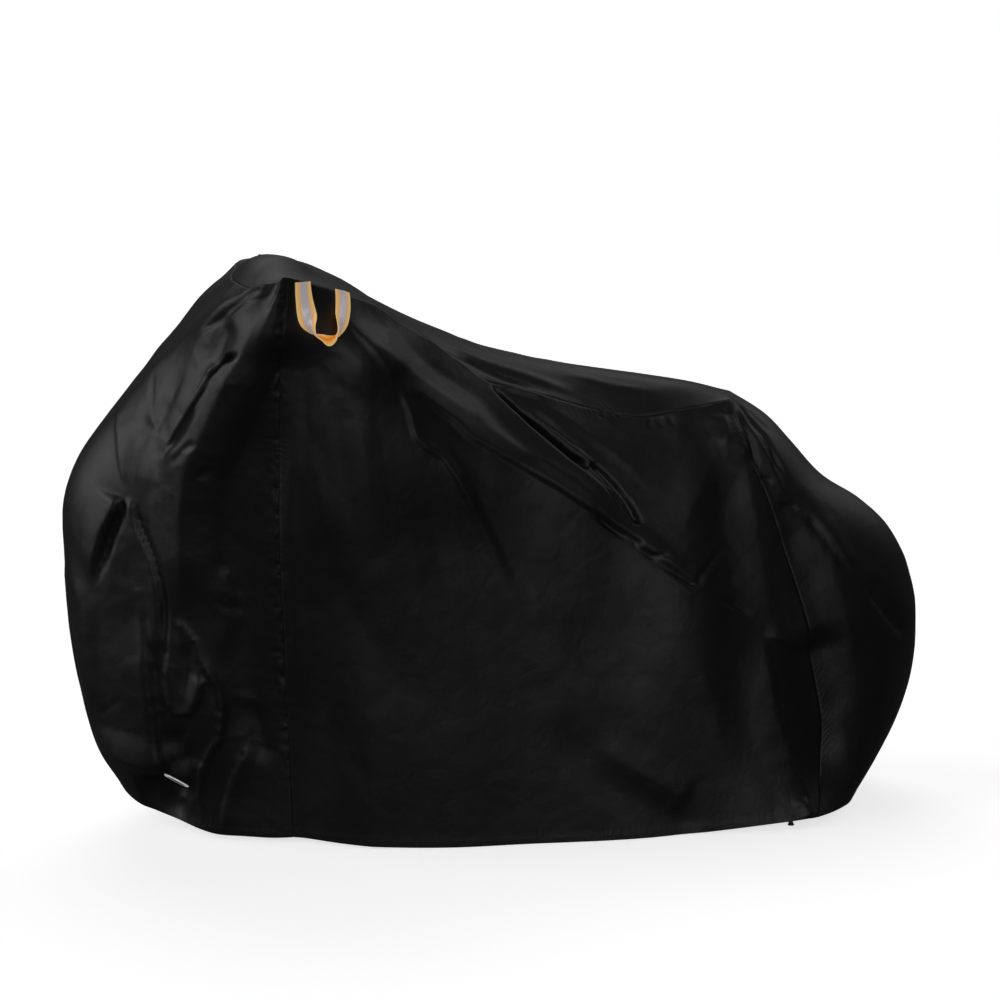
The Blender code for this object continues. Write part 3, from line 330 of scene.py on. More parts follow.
RIGHT_FOLDS = (
    ("brow", "roof", 10, 50, .05, .2, (
        (-479, 323, 1116), (-574, 215, 1080), (-641, 150, 997), (-731, 85, 902))),
    ("crest", "roof", 20, 65, .3, .2, (
        (-480, 331, 1105), (-541, 300, 968), (-580, 272, 868), (-618, 246, 771), (-630, 222, 600),
        (-622, 205, 380))),
    ("hollow", "roof", -15, 70, .2, .2, (
        (-500, 315, 940), (-530, 272, 620), (-540, 225, 250))),
    ("cheek", "roof", -16, 45, .3, .2, (
        (-745, 160, 730), (-752, 160, 560), (-725, 178, 360), (-735, 140, 170))),
    ("knee", "roof", 14, 80, .1, .3, (
        (-334, 279, 1030), (-240, 272, 910), (-120, 245, 800), (20, 235, 690), (150, 235, 590),
        (270, 245, 480))),
    ("second", "roof", 11, 55, .1, .4, (
        (-270, 278, 940), (-205, 283, 760), (-150, 284, 560), (-120, 286, 360))),
    ("bar fall", "roof", -12, 60, .3, .2, (
        (-330, 300, 780), (-300, 298, 480), (-260, 290, 160))),
    ("swag", "roof", -14, 55, .3, .3, (
        (20, 190, 820), (120, 200, 720), (240, 222, 620))),
    ("low crease", "roof", -12, 55, .3, 0, (
        (-80, 288, 330), (10, 290, 200), (120, 296, 90), (180, 298, 5))),
    ("saddle front", "roof", 12, 50, .1, .5, (
        (445, 86, 834), (400, 145, 720), (330, 205, 600))),
    ("saddle drop", "roof", 13, 55, .1, .4, (
        (452, 90, 822), (482, 135, 700), (510, 175, 540), (516, 205, 380))),
    ("rear hollow", "roof", -22, 62, .25, 0, (
        (545, 200, 380), (566, 220, 260), (584, 240, 130), (580, 268, 12))),
    ("rear crease", "roof", -10, 45, .3, .3, (
        (600, 125, 640), (690, 135, 500), (760, 125, 400))),
)


# ---------------------------------------------------------------- curves and lofts

def spline(points, knots):
    """A curve through points at knots, as a function of an array of places."""
    points, knots = np.asarray(points, float), np.asarray(knots, float)
    gaps = np.diff(knots)
    shape = (-1,) + (1,) * (points.ndim - 1)
    slopes = np.diff(points, axis=0) / gaps.reshape(shape)
    tangents = np.empty_like(points)
    tangents[0], tangents[-1] = slopes[0], slopes[-1]
    before, after = gaps[:-1].reshape(shape), gaps[1:].reshape(shape)
    tangents[1:-1] = (slopes[:-1] * after + slopes[1:] * before) / (before + after)

    def at(places):
        places = np.atleast_1d(places)
        i = np.clip(np.searchsorted(knots, places, side="right") - 1, 0, len(gaps) - 1)
        s = ((places - knots[i]) / gaps[i]).reshape(shape)
        gap = gaps[i].reshape(shape)
        start, end = 2 * s**3 - 3 * s**2 + 1, 3 * s**2 - 2 * s**3
        leave, arrive = (s**3 - 2 * s**2 + s) * gap, (s**3 - s**2) * gap
        return start * points[i] + end * points[i + 1] + leave * tangents[i] + arrive * tangents[i + 1]
    return at


def rail(points):
    """A smooth line through points in metres, as a function of 0 to 1 along its chords."""
    points = np.array(points, float)
    steps = np.linalg.norm(np.diff(points, axis=0), axis=1)
    return spline(points, np.concatenate(([0.0], np.cumsum(steps))) / steps.sum())


def left(points):
    """Table points in metres, on the near side."""
    return [(x * MM, y * MM, z * MM) for x, y, z in points]


def right(points):
    """Table points in metres, mirrored to the far side."""
    return [(x * MM, -y * MM, z * MM) for x, y, z in points]


def spread(lines):
    """Knots for lines: their mean distances, added up from the first."""
    rows = np.stack([line(np.linspace(0, 1, 7)) for line in lines], axis=1)
    gaps = np.linalg.norm(np.diff(rows, axis=1), axis=2).mean(axis=0)
    return np.concatenate(([0.0], np.cumsum(gaps)))


def loft(lines, knots, across, down):
    """Points of a sheet over its lines: a row for each value of down, a column for each of across."""
    rows = np.stack([line(down) for line in lines])
    return spline(rows, knots)(across).transpose(1, 0, 2)


def meet(sheet, edge, down, share):
    """Move the sheet's first row onto edge, fading out over a share of its way down."""
    fade = np.clip(1 - down / share, 0, 1) ** 2
    return sheet + fade[:, None, None] * (edge - sheet[0])[None]


def graded(length, cell, growth=1.0, start=True, end=True):
    """Places from 0 to 1 along a length: cells that grow along it, and small ones at its chosen ends."""
    low = [0.0] + [s for s in EDGE_STEPS if start]
    high = [length] + [length - s for s in EDGE_STEPS if end]
    span = high[-1] - low[-1]
    if growth == 1:
        share = np.linspace(0, 1, round(span / cell) + 1)
    else:
        share = np.linspace(0, 1, round(span * math.log(growth) / (cell * (growth - 1))) + 1)
        share = (growth**share - 1) / (growth - 1)
    return np.concatenate((low[:-1], low[-1] + span * share, high[:-1][::-1])) / length


def side_lines(flip):
    """The lines down one side panel, front and rear seams included, with their places along it."""
    top = rail(flip(TOP_SEAM))
    lines, places = [rail(flip(FRONT_SEAM))], [0.0]
    for place, points in SIDE_LINES:
        lines.append(rail([tuple(top(place)[0])] + flip(points)))
        places.append(place)
    return lines + [rail(flip(REAR_SEAM))], places + [1.0]


# the sheets' lengths, from which they get the number of their cells
SIDE_LENGTH, SIDE_DROP, FRONT_DROP, TOP_RUN, REAR_DROP = 1.10, 1.00, 1.12, 1.02, .98
BEYOND = .13                       # from a side panel's ends to the lines past them, as a share of its length
BAR_FADE, TAIL_FADE = .1, .18      # shares of the top and rear sheets that bend to meet the row above
FRONT_CELL = CELL * .9
NEAR_ACROSS, NEAR_DOWN = graded(SIDE_LENGTH, CELL, growth=1.4), graded(SIDE_DROP, CELL, growth=1.3)
FAR_ACROSS, FAR_DOWN = graded(SIDE_LENGTH, FAR_CELL), graded(SIDE_DROP, FAR_CELL)
FRONT_DOWN = graded(FRONT_DROP, CELL)
TOP_DOWN, REAR_DOWN = graded(TOP_RUN, TOP_CELL, end=False), graded(REAR_DROP, TOP_CELL, start=False)


def side_sheet(flip, across, down):
    """A side panel, which hangs from the top seam."""
    lines, places = side_lines(flip)
    crest, flank, top = rail(flip(CREST)), rail(flip(FLANK)), rail(flip(TOP_SEAM))
    sheet = loft([crest] + lines + [flank], [-BEYOND] + places + [1 + BEYOND], across, down)
    return meet(sheet, top(across), down, 1.0)


def front_lines():
    """The lines down the front panel and the first past each of its seams, with their knots."""
    near, _ = side_lines(left)
    far, _ = side_lines(right)
    lines = [near[1], near[0], rail(left(CREST)), rail(left(BROW)), rail(left(NOSE)),
             rail(right(BROW)), rail(right(CREST)), far[0], far[1]]
    return lines, spread(lines)


def front_sheet():
    """The front panel, from the near seam round the nose to the far seam."""
    lines, knots = front_lines()
    width = knots[-2] - knots[1]
    return loft(lines, knots, knots[1] + width * graded(width, FRONT_CELL, growth=2.6), FRONT_DOWN)


def top_sheet():
    """The strip from the bar seam over the saddle, and down the rear to the hem."""
    lines, knots = front_lines()
    strip = [rail(left(TOP_SEAM)), rail(left(SHOULDER)), rail(left(RIDGE)), rail(right(SHOULDER)),
             rail(right(TOP_SEAM))]
    width = spread(strip)[-1]
    share = graded(width, CELL, growth=2.2)
    bar = loft(lines, knots, knots[1] + (knots[-2] - knots[1]) * share, np.zeros(1))[0]
    top = meet(loft(strip, spread(strip), width * share, TOP_DOWN), bar, TOP_DOWN, BAR_FADE)
    near, _ = side_lines(left)
    far, _ = side_lines(right)
    drop = [near[-2], near[-1], rail(left(FLANK)), rail(left(TAIL)), rail(right(FLANK)), far[-1], far[-2]]
    knots = spread(drop)
    rear = loft(drop, knots, knots[1] + (knots[-2] - knots[1]) * share, REAR_DOWN)
    return np.concatenate((top, meet(rear, top[-1], REAR_DOWN, TAIL_FADE)[1:]))


# ---------------------------------------------------------------- folds, puckers and crumples

def smooth(t):
    """From 0 to 1 with level ends."""
    t = np.clip(t, 0, 1)
    return t * t * (3 - 2 * t)


MIDDLE = (-.55, .55), (.25, .60)      # reach of the cover's middle along x and up


def facing(sheet):
    """Unit normals at a sheet's points, away from the middle of the cover."""
    normals = np.cross(np.gradient(sheet, axis=1), np.gradient(sheet, axis=0))
    normals /= np.linalg.norm(normals, axis=2)[..., None] + 1e-12
    core = np.stack((np.clip(sheet[..., 0], *MIDDLE[0]), 0 * sheet[..., 1],
                     np.clip(sheet[..., 2], *MIDDLE[1])), axis=-1)
    return normals * np.sign(np.sum(normals * (sheet - core)))


FAR_OFF = 9.0      # further than any point of the cover


def nearest_on(path, points):
    """The nearest spots of a path to points: the way from them, the path's direction, and the place."""
    steps = np.linalg.norm(np.diff(path, axis=0), axis=1)
    starts = np.concatenate(([0.0], np.cumsum(steps)))
    away, ahead = np.full_like(points, FAR_OFF), np.zeros_like(points)
    place = np.zeros(len(points))
    for i, step in enumerate(steps):
        along = (path[i + 1] - path[i]) / step
        reach = np.clip((points - path[i]) @ along, 0, step)
        way = points - path[i] - reach[:, None] * along
        closer = np.sum(way**2, axis=1) < np.sum(away**2, axis=1)
        away[closer], ahead[closer] = way[closer], along
        place[closer] = (starts[i] + reach[closer]) / starts[-1]
    return away, ahead, place


TIP, FOOT = .06, .05      # shares of a fold's half width that round its line and feet
LAP = .14      # width of a lap's steep side, as a share of the other side's


def fold_shape(kind, reach, side):
    """Height of a fold, from 0 to 1, at a distance of reach half widths from its line."""
    if kind == "round":
        return np.clip(1 - reach**2, 0, 1) ** 2
    if kind == "lap":
        reach = np.where(side > 0, reach / LAP, reach)
    slope = 1 + TIP - np.sqrt(reach**2 + TIP**2)       # two flat slopes
    return (slope + np.sqrt(slope**2 + FOOT**2)) / (1 + np.sqrt(1 + FOOT**2))


def lift_folds(table, points, normals):
    """How far the folds of a table lift each point."""
    lift = np.zeros(len(points))
    for _, kind, height, width, fade_in, fade_out, path in table:
        path, width = np.array(path) * MM, width * MM
        low, high = path.min(axis=0) - width, path.max(axis=0) + width
        beside = np.all((points > low) & (points < high), axis=1)
        if not beside.any():
            continue
        away, ahead, place = nearest_on(path, points[beside])
        side = np.sum(np.cross(ahead, away) * normals[beside], axis=1) / width
        shape = fold_shape(kind, np.linalg.norm(away, axis=1) / width, side)
        if fade_in:
            shape = shape * smooth(place / fade_in)
        if fade_out:
            shape = shape * smooth((1 - place) / fade_out)
        lift[beside] += height * MM * shape
    return lift


def steps_along(sheet, axis):
    """Distances added up along a sheet's rows (axis 1) or columns (axis 0)."""
    step = np.linalg.norm(np.diff(sheet, axis=axis), axis=2)
    start = np.zeros_like(sheet[:1, :, 0] if axis == 0 else sheet[:, :1, 0])
    return np.concatenate((start, np.cumsum(step, axis=axis)), axis=axis)


def field(points, scale, seed, kind="soft"):
    """A noise value for each point; scale is the size of its lumps along x, y and z."""
    values = np.empty(len(points))
    for i, (x, y, z) in enumerate(points / np.array(scale) + seed):
        spot = Vector((x, y, z))
        if kind == "soft":
            values[i] = noise.noise(spot)
        else:
            edges = noise.voronoi(spot, distance_metric="DISTANCE_SQUARED")[0]
            values[i] = edges[1] - edges[0]      # flat on each facet
    return values


FACET_MIDDLE = .45      # near the facets' mean, so that they rise and sink alike
# where cloth is crumpled: centre, radius, height and the size of its facets
CRUMPLES = (
    ((-690, -190, 800), 190, 3.4, 70), ((-600, -250, 930), 120, 2.6, 46), ((-690, -170, 330), 150, 3.2, 60),
    ((-780, -130, 560), 160, 3.0, 80), ((-650, -170, 140), 110, 1.6, 44), ((-500, -220, 250), 150, 1.8, 60),
    ((470, -140, 740), 130, 3.0, 60), ((560, -160, 560), 170, 3.0, 80), ((130, -190, 740), 150, 2.0, 60),
    ((370, -230, 520), 140, 2.0, 60), ((560, -220, 200), 170, 2.6, 60), ((-560, 240, 800), 250, 5.0, 90),
    ((520, 170, 560), 240, 5.0, 90), ((740, -60, 420), 220, 2.6, 90), ((-330, -290, 950), 150, 1.6, 50),
    ((0, -60, 930), 260, 1.6, 60), ((-800, 60, 500), 260, 4.0, 90), ((0, 280, 400), 400, 4.0, 130),
    ((60, -280, 350), 420, 2.0, 150), ((-380, -290, 600), 300, 1.2, 110),
)
# slow waves all over the cloth, then the small ones: their size along x, y and z, and height
WAVES = (((.13, .13, .42), 2.6), ((.055, .055, .15), .6), ((.024, .024, .040), .10))


def crumple(points):
    """Heights of the crumpled facets and the waves."""
    lift = np.zeros(len(points))
    for seed, (centre, radius, height, size) in enumerate(CRUMPLES):
        away = np.linalg.norm(points - np.array(centre) * MM, axis=1) / (radius * MM)
        inside = away < 1
        if inside.any():
            facets = field(points[inside], (size * MM,) * 3, 7.3 * seed + 1.7, "facets")
            lift[inside] += height * MM * (FACET_MIDDLE - facets) * (1 - away[inside] ** 2) ** 1.5
    for seed, (size, height) in enumerate(WAVES):
        lift += height * MM * field(points, size, 31.7 + 5.1 * seed)
    return lift


GROOVE, GROOVE_WIDTH = .0016, .0026      # a sewn seam's groove
# puckers beside a seam: their size along and away from it, where they start and how far they reach
PUCKER_PITCH, PUCKER_LENGTH, PUCKER_START, PUCKER_REACH = .015, .018, .003, .012
PUCKER_LOW, PUCKER_RISE = .07, .16       # height above the hem where they begin, and over which they grow


def pucker(away, along, seed, height):
    """The groove of a seam and the puckers beside it: small waves with deeper pits."""
    waves = np.array([noise.noise(Vector((a / PUCKER_PITCH, d / PUCKER_LENGTH, seed)))
                      for a, d in zip(along.ravel(), away.ravel())]).reshape(away.shape)
    pits = np.clip(waves * 3 - .2, 0, 1) * .5 - waves * .6
    return (-height * MM * pits * (1 - np.exp(-away / PUCKER_START)) * np.exp(-away / PUCKER_REACH)
            - GROOVE * np.exp(-(away / GROOVE_WIDTH) ** 2))


# ---------------------------------------------------------------- the four sheets, sewn together

EYELET = np.array((-681.6, -126.7, 118.1)) * MM      # the eyelet's place and the way it faces
EYELET_AXIS = np.array((-.50, -.30, -.81)) / np.linalg.norm((-.50, -.30, -.81))
# from the eyelet's axis: the cloth's hole, where it lies flat, where it is free again; then the zone's radius
EYELET_HOLE, EYELET_FLAT, EYELET_EASE, EYELET_ZONE = .0222, .030, .046, .09
CORNERS = np.array([(-459, -330, 1131), (-459, 330, 1131), (450, -80, 845), (450, 80, 845)]) * MM
CORNER_FADE, SEAM_FADE = .06, .030
SEAM_POINTS = 400      # of the line that two edges share
# where the cloth settles: place, radius and move
SETTLES = (((-459, 330, 1131), 70, (0, -8, -12)), ((-568, 240, 1088), 85, (13, -3, -8)),
           ((-705, -128, 50), 50, (5, 30, -6)), ((-745, -50, 58), 60, (-6, -4, -9)),
           ((-600, -160, 22), 70, (0, -6, -10)), ((-500, -190, 16), 60, (0, -4, -7)))
EDGES = {"top": np.s_[0], "front": np.s_[:, 0], "rear": np.s_[:, -1]}     # first row, first and last column


def lift_of(points, normals):
    """Height of everything that lifts the cloth, held down at the corners where three sheets meet."""
    lift = sum(lift_folds(table, points, normals) for table in (LEFT_FOLDS, RIGHT_FOLDS))
    lift += crumple(points)
    away = np.linalg.norm(points[:, None] - CORNERS[None], axis=2).min(axis=1)
    return lift * smooth(away / CORNER_FADE)


def between(places, known, values):
    """Points at places of a line that is known by its values at other places."""
    return np.stack([np.interp(places, known, values[:, k]) for k in range(3)], axis=1)


class Sheet:
    """One panel: its points, and how far each lies from its sewn edges and along them."""

    def __init__(self, points, puckers):
        self.base, self.normals = points, facing(points)
        rows, columns = points.shape[:2]
        down, along = steps_along(points, 0), steps_along(points, 1)
        self.away = {"top": down, "front": along, "rear": along[:, -1:] - along}
        run = {"top": along, "front": down, "rear": down}
        to_hem = down[-1:] - down
        from_stitches = to_hem - HEM + HEM_STITCH
        self.uv = np.stack((along - along[:, columns // 2, None], -down), axis=2)
        lift = lift_of(points.reshape(-1, 3), self.normals.reshape(-1, 3)).reshape(rows, columns)
        high_up = smooth((to_hem - PUCKER_LOW) / PUCKER_RISE)
        for edge, height in puckers.items():
            lift += pucker(self.away[edge], run[edge], 7.7 * height, height * high_up)
        lift += HEM_RISE * smooth((HEM - to_hem) / HEM_EASE)
        lift -= HEM_RISE * np.exp(-(from_stitches / STITCH_DENT) ** 2)
        self.points = points + lift[..., None] * self.normals
        self.lines = {edge: self.points[where].copy() for edge, where in EDGES.items()}
        # distance from the nearest row of stitches, and the way along it
        rows_of = [np.abs(self.away[edge] - SEAM_STITCH) for edge in EDGES] + [np.abs(from_stitches)]
        self.stitch = np.min(rows_of, axis=0)
        self.run = np.choose(np.argmin(rows_of, axis=0), [run[edge] for edge in EDGES] + [along])

    def close(self):
        """Move the edges onto the lines that they share, with the cloth beside them."""
        for edge, where in EDGES.items():
            shift = self.lines[edge] - self.points[where]
            weight = np.exp(-(self.away[edge] / SEAM_FADE) ** 2)[..., None]
            self.points = self.points + weight * (shift[None] if edge == "top" else shift[:, None])


def sew(*edges):
    """Give two edges one grooved line; each is a sheet, an edge, the part of it and its places."""
    dense = np.linspace(0, 1, SEAM_POINTS)
    normals = sum(between(dense, places, sheet.normals[EDGES[edge]][part])
                  for sheet, edge, part, places in edges)
    normals /= np.linalg.norm(normals, axis=1)[:, None]
    sheet, edge, part, places = edges[0]
    line = between(dense, places, sheet.base[EDGES[edge]][part])
    away = np.linalg.norm(line[:, None] - CORNERS[None], axis=2).min(axis=1)
    line += (lift_of(line, normals) - GROOVE * smooth(away / CORNER_FADE))[:, None] * normals
    for sheet, edge, part, places in edges:
        sheet.lines[edge][part] = between(places, dense, line)


# each sheet with the height of the puckers at its sewn edges, in millimetres
near = Sheet(side_sheet(left, NEAR_ACROSS, NEAR_DOWN), {"top": 1.6, "front": 4.5, "rear": 1.6})
far = Sheet(side_sheet(right, FAR_ACROSS, FAR_DOWN), {"top": 1.0, "front": 2.0, "rear": 1.6})
front = Sheet(front_sheet(), {"top": 1.2, "front": 15.0, "rear": 2.5})
top = Sheet(top_sheet(), {"top": 1.2, "front": 1.4, "rear": 1.1})

# parts of an edge: all of it, and on the top sheet's sides the strip along the top and the run down the rear
WHOLE, STRIP, REAR = slice(None), slice(0, len(TOP_DOWN)), slice(len(TOP_DOWN) - 1, None)
sew((front, "front", WHOLE, FRONT_DOWN), (near, "front", WHOLE, NEAR_DOWN))
sew((front, "rear", WHOLE, FRONT_DOWN), (far, "front", WHOLE, FAR_DOWN))
sew((near, "top", WHOLE, NEAR_ACROSS), (top, "front", STRIP, TOP_DOWN))
sew((far, "top", WHOLE, FAR_ACROSS), (top, "rear", STRIP, TOP_DOWN))
sew((near, "rear", WHOLE, NEAR_DOWN), (top, "front", REAR, REAR_DOWN))
sew((far, "rear", WHOLE, FAR_DOWN), (top, "rear", REAR, REAR_DOWN))
brow_runs = [steps_along(sheet.base[:1], 1)[0] for sheet in (front, top)]
sew(*((sheet, "top", WHOLE, run / run[-1]) for sheet, run in zip((front, top), brow_runs)))
for sheet in (near, far, front, top):
    sheet.close()
    for place, radius, move in SETTLES:
        away = np.linalg.norm(sheet.points - np.array(place) * MM, axis=2) / (radius * MM)
        sheet.points = sheet.points + np.exp(-away**2)[..., None] * np.array(move) * MM


def lay_round_eyelet(points):
    """Lay the cloth flat where the eyelet clamps it."""
    rise = (points - EYELET) @ EYELET_AXIS
    away = np.linalg.norm(points - EYELET - rise[..., None] * EYELET_AXIS, axis=2)
    level = smooth((EYELET_EASE - away) / (EYELET_EASE - EYELET_FLAT))
    level *= np.linalg.norm(points - EYELET, axis=2) < EYELET_ZONE
    return points - (level * rise)[..., None] * EYELET_AXIS


def open_eyelet(bm):
    """Cut the eyelet's hole: drop the faces in it and round the rim."""
    centre, axis = Vector(EYELET), Vector(EYELET_AXIS)

    def reach(spot):
        """The way from the eyelet's axis to a spot, and the distance from its middle."""
        way = spot - centre
        return way - way.dot(axis) * axis, way.length

    gone = []
    for face in bm.faces:
        flat, distance = reach(face.calc_center_median())
        if flat.length < EYELET_HOLE and distance < EYELET_ZONE / 2:
            gone.append(face)
    rim = {vert for face in gone for vert in face.verts}
    bmesh.ops.delete(bm, geom=gone, context="FACES")
    for vert in rim:
        if vert.is_valid:
            flat = reach(vert.co)[0]
            vert.co += flat * (EYELET_HOLE / flat.length - 1)


def new_object(name, data):
    """An object at the origin, linked to the scene."""
    made = bpy.data.objects.new(name, data)
    bpy.context.scene.collection.objects.link(made)
    return made


def walled(name, mesh, material, thick):
    """A piece from the mesh of its outer face, with a wall behind it."""
    piece = new_object(name, mesh)
    piece.data.materials.append(material)
    wall = piece.modifiers.new("thickness", "SOLIDIFY")
    wall.thickness, wall.offset = thick, -1
    return piece


def cloth_piece(name, sheet, material, eyelet=False):
    """The sheet as a thin closed piece of cloth."""
    rows, columns = sheet.points.shape[:2]
    points = sheet.points + SHIFT
    if eyelet:
        points = lay_round_eyelet(points)
    mesh = bpy.data.meshes.new(name)
    bm = bmesh.new()
    stitch, run = bm.verts.layers.float.new("stitch"), bm.verts.layers.float.new("run")
    made = bmesh.ops.create_grid(bm, x_segments=columns - 1, y_segments=rows - 1, size=1, calc_uvs=False)
    flat = points.reshape(-1, 3)
    for i, vert in enumerate(made["verts"]):
        vert.co = flat[i]
        vert[stitch] = sheet.stitch.flat[i]
        vert[run] = sheet.run.flat[i]
        vert.index = i
    uv = bm.loops.layers.uv.new("cloth")
    places = sheet.uv.reshape(-1, 2)
    for face in bm.faces:
        face.smooth = True
        for loop in face.loops:
            loop[uv].uv = places[loop.vert.index]
    bm.normal_update()
    outward = sheet.normals.reshape(-1, 3)
    if sum(v.normal.dot(outward[v.index]) for v in made["verts"][::97]) < 0:
        bmesh.ops.reverse_faces(bm, faces=bm.faces[:])
    if eyelet:
        open_eyelet(bm)
    bm.to_mesh(mesh)
    bm.free()
    return walled(name, mesh, material, CLOTH)


# ---------------------------------------------------------------- materials

class Wire:
    """A value in a node tree; its arithmetic adds Math nodes."""

    def __init__(self, tree, socket):
        self.tree, self.socket = tree, socket

    def math(self, operation, first, second=0.0):
        """The result of a Math node."""
        return add(self.tree, "ShaderNodeMath", {"operation": operation}, {0: first, 1: second})

    def __add__(self, other):
        return self.math("ADD", self, other)

    __radd__ = __add__

    def __sub__(self, other):
        return self.math("SUBTRACT", self, other)

    def __rsub__(self, other):
        return self.math("SUBTRACT", other, self)

    def __mul__(self, other):
        return self.math("MULTIPLY", self, other)

    __rmul__ = __mul__

    def __truediv__(self, other):
        return self.math("DIVIDE", self, other)

    def __rtruediv__(self, other):
        return self.math("DIVIDE", other, self)

    def sine(self):
        return self.math("SINE", self)

    def size(self):
        return self.math("ABSOLUTE", self)

    def below(self, limit):
        return self.math("LESS_THAN", self, limit)

    def at_least(self, limit):
        return self.math("MAXIMUM", self, limit)

    def part(self):
        return self.math("FRACT", self)


def add(tree, kind, settings, inputs, output=0):
    """Add a node, with its settings and its inputs, each a number or a Wire; its output as a Wire."""
    node = tree.nodes.new(kind)
    for name, value in settings.items():
        setattr(node, name, value)
    for key, value in inputs.items():
        if isinstance(value, Wire):
            tree.links.new(value.socket, node.inputs[key])
        else:
            node.inputs[key].default_value = value
    return Wire(tree, node.outputs[output])


def surface(name, roughness, metallic=0.0, specular=.5):
    """A new material: its tree and its Principled shader."""
    material = bpy.data.materials.new(name)
    material.use_nodes = True
    tree = material.node_tree
    shader = tree.nodes["Principled BSDF"]
    shader.inputs["Roughness"].default_value = roughness
    shader.inputs["Metallic"].default_value = metallic
    shader.inputs["Specular IOR Level"].default_value = specular
    return material, tree, shader


def feed(shader, name, wire):
    """Drive one of the shader's inputs."""
    wire.tree.links.new(wire.socket, shader.inputs[name])


def object_place(tree):
    """The place in metres, as every piece has its place in its mesh."""
    return add(tree, "ShaderNodeTexCoord", {}, {}, "Object")


def stored(tree, name):
    """A number that the mesh stores at its points."""
    return add(tree, "ShaderNodeAttribute", {"attribute_name": name}, {}, "Fac")


def axes(tree, place):
    """A place's x, y and z."""
    return [add(tree, "ShaderNodeSeparateXYZ", {}, {0: place}, k) for k in range(3)]


def lumps(tree, coordinates, scale, detail=3.0):
    """Soft irregular patches."""
    return add(tree, "ShaderNodeTexNoise", {}, {"Vector": coordinates, "Scale": scale, "Detail": detail})


def wrinkles(tree, coordinates, scale):
    """Small flat facets with crisp creases between them."""
    drift = add(tree, "ShaderNodeTexNoise", {},
                {"Vector": coordinates, "Scale": scale * .5, "Detail": 2.0}, "Color")
    bent = add(tree, "ShaderNodeVectorMath", {"operation": "MULTIPLY_ADD"},
               {0: drift, 1: (.6 / scale,) * 3, 2: coordinates})
    return add(tree, "ShaderNodeTexVoronoi", {"feature": "DISTANCE_TO_EDGE"},
               {"Vector": bent, "Scale": scale})


def shade(tree, shader, low, high, factor, glow=0.0):
    """Base colour between two colours; with glow, that colour is also emitted as painted light, so a trim
    looks lit without a lamp.
    """
    # a Mix node's sockets share their names: 6, 7 and 2 are its colours
    mix = add(tree, "ShaderNodeMix", {"data_type": "RGBA"}, {0: factor, 6: (*low, 1), 7: (*high, 1)}, 2)
    feed(shader, "Base Color", mix)
    # painted light: the emitted colour makes the piece look lit
    if glow:
        feed(shader, "Emission Color", mix)
        shader.inputs["Emission Strength"].default_value = glow


def emboss(tree, shader, height):
    """Bump from heights in metres."""
    bump = add(tree, "ShaderNodeBump", {}, {"Height": height, "Strength": 1.0, "Distance": 1.0})
    feed(shader, "Normal", bump)


def woven(across, along, width, length):
    """Crossing threads, from -1 to 1; width and length are the sizes of an up and a down together."""
    return (across * (TURN / width)).sine() * (along * (TURN / length)).sine()


def uv_of(tree, name):
    """A UV map's two lengths, in metres."""
    return axes(tree, add(tree, "ShaderNodeUVMap", {"uv_map": name}, {}))[:2]


TURN = 2 * math.pi
WEAVE, WEAVE_HEIGHT = .0014, .000035
# one stitch's length, the share of it that shows, and the thread's half width and height
STITCH, STITCH_SHOWN, STITCH_WIDTH, STITCH_HEIGHT = .0040, .72, .0006, .00030
# gathers beside the stitches: their pitch, height, and how fast they fade with the distance
GATHER, GATHER_HEIGHT, GATHER_FADE = .013, .00018, 45
# sizes of the webbing's ribs and slanting lines, the tape's beads and the cord's strands
RIB_WIDTH, RIB_LENGTH, TWILL_WIDTH, TWILL_LENGTH, BEAD, STRAND = .0021, .0016, .0026, .0032, .0016, .003
RING_SHADE_RADIUS = .0204      # painted shade: the ring is painted dark up to here from its axis
# the webbing and its tape: thickness and half width, and the gap between them
WEBBING, HALF_WEBBING, TAPE, HALF_TAPE, TAPE_GAP = .0016, .0180, .0005, .0084, .0003


def cloth_surface():
    """Black coated cloth: a fine weave, facets with crisp creases, stitches, and gathers beside them."""
    material, tree, shader = surface("coated cloth", .60, specular=.42)
    place = object_place(tree)
    across, along = uv_of(tree, "cloth")
    weave = woven(across, along, WEAVE, WEAVE)
    patches, creases = lumps(tree, place, 7.0), lumps(tree, place, 34.0, detail=5.0)
    facets = wrinkles(tree, place, 16.0) * .0011 + wrinkles(tree, place, 52.0) * .00028
    off_stitches, run = stored(tree, "stitch"), stored(tree, "run")
    thread = off_stitches.below(STITCH_WIDTH) * (run / STITCH).part().below(STITCH_SHOWN)
    gather = ((run * (TURN / GATHER) + patches * 30.0 + creases * 9.0).sine()
              * (1 - off_stitches * GATHER_FADE).at_least(0) * (patches * 4 - 1.6).at_least(0))
    emboss(tree, shader, weave * WEAVE_HEIGHT + gather * GATHER_HEIGHT + facets + creases * .0004
           + thread * STITCH_HEIGHT)
    shade(tree, shader, (.0028, .0028, .0030), (.0046, .0046, .0048), patches + weave * .1 + thread * .2)
    feed(shader, "Roughness", patches * .06 + creases * .04 + .40)
    return material


def webbing_surface():
    """Orange webbing with a ribbed weave, paler along its edges; its colour also glows as painted light."""
    material, tree, shader = surface("orange webbing", .72, specular=.3)
    across, along = uv_of(tree, "band")
    ribs = woven(across, along, RIB_WIDTH, RIB_LENGTH)
    lines = (along * (TURN / TWILL_LENGTH) + across * (TURN / TWILL_WIDTH)).sine()
    emboss(tree, shader, ribs * .00010 + lines * .00006)
    off_edge = (across.size() * -1 + HALF_WEBBING) * 64
    # painted light: glow .36 emits the webbing's colour so that it looks brightly lit
    shade(tree, shader, (.96, .68, .30), (.88, .29, .010), off_edge + ribs * .12, glow=.36)
    return material


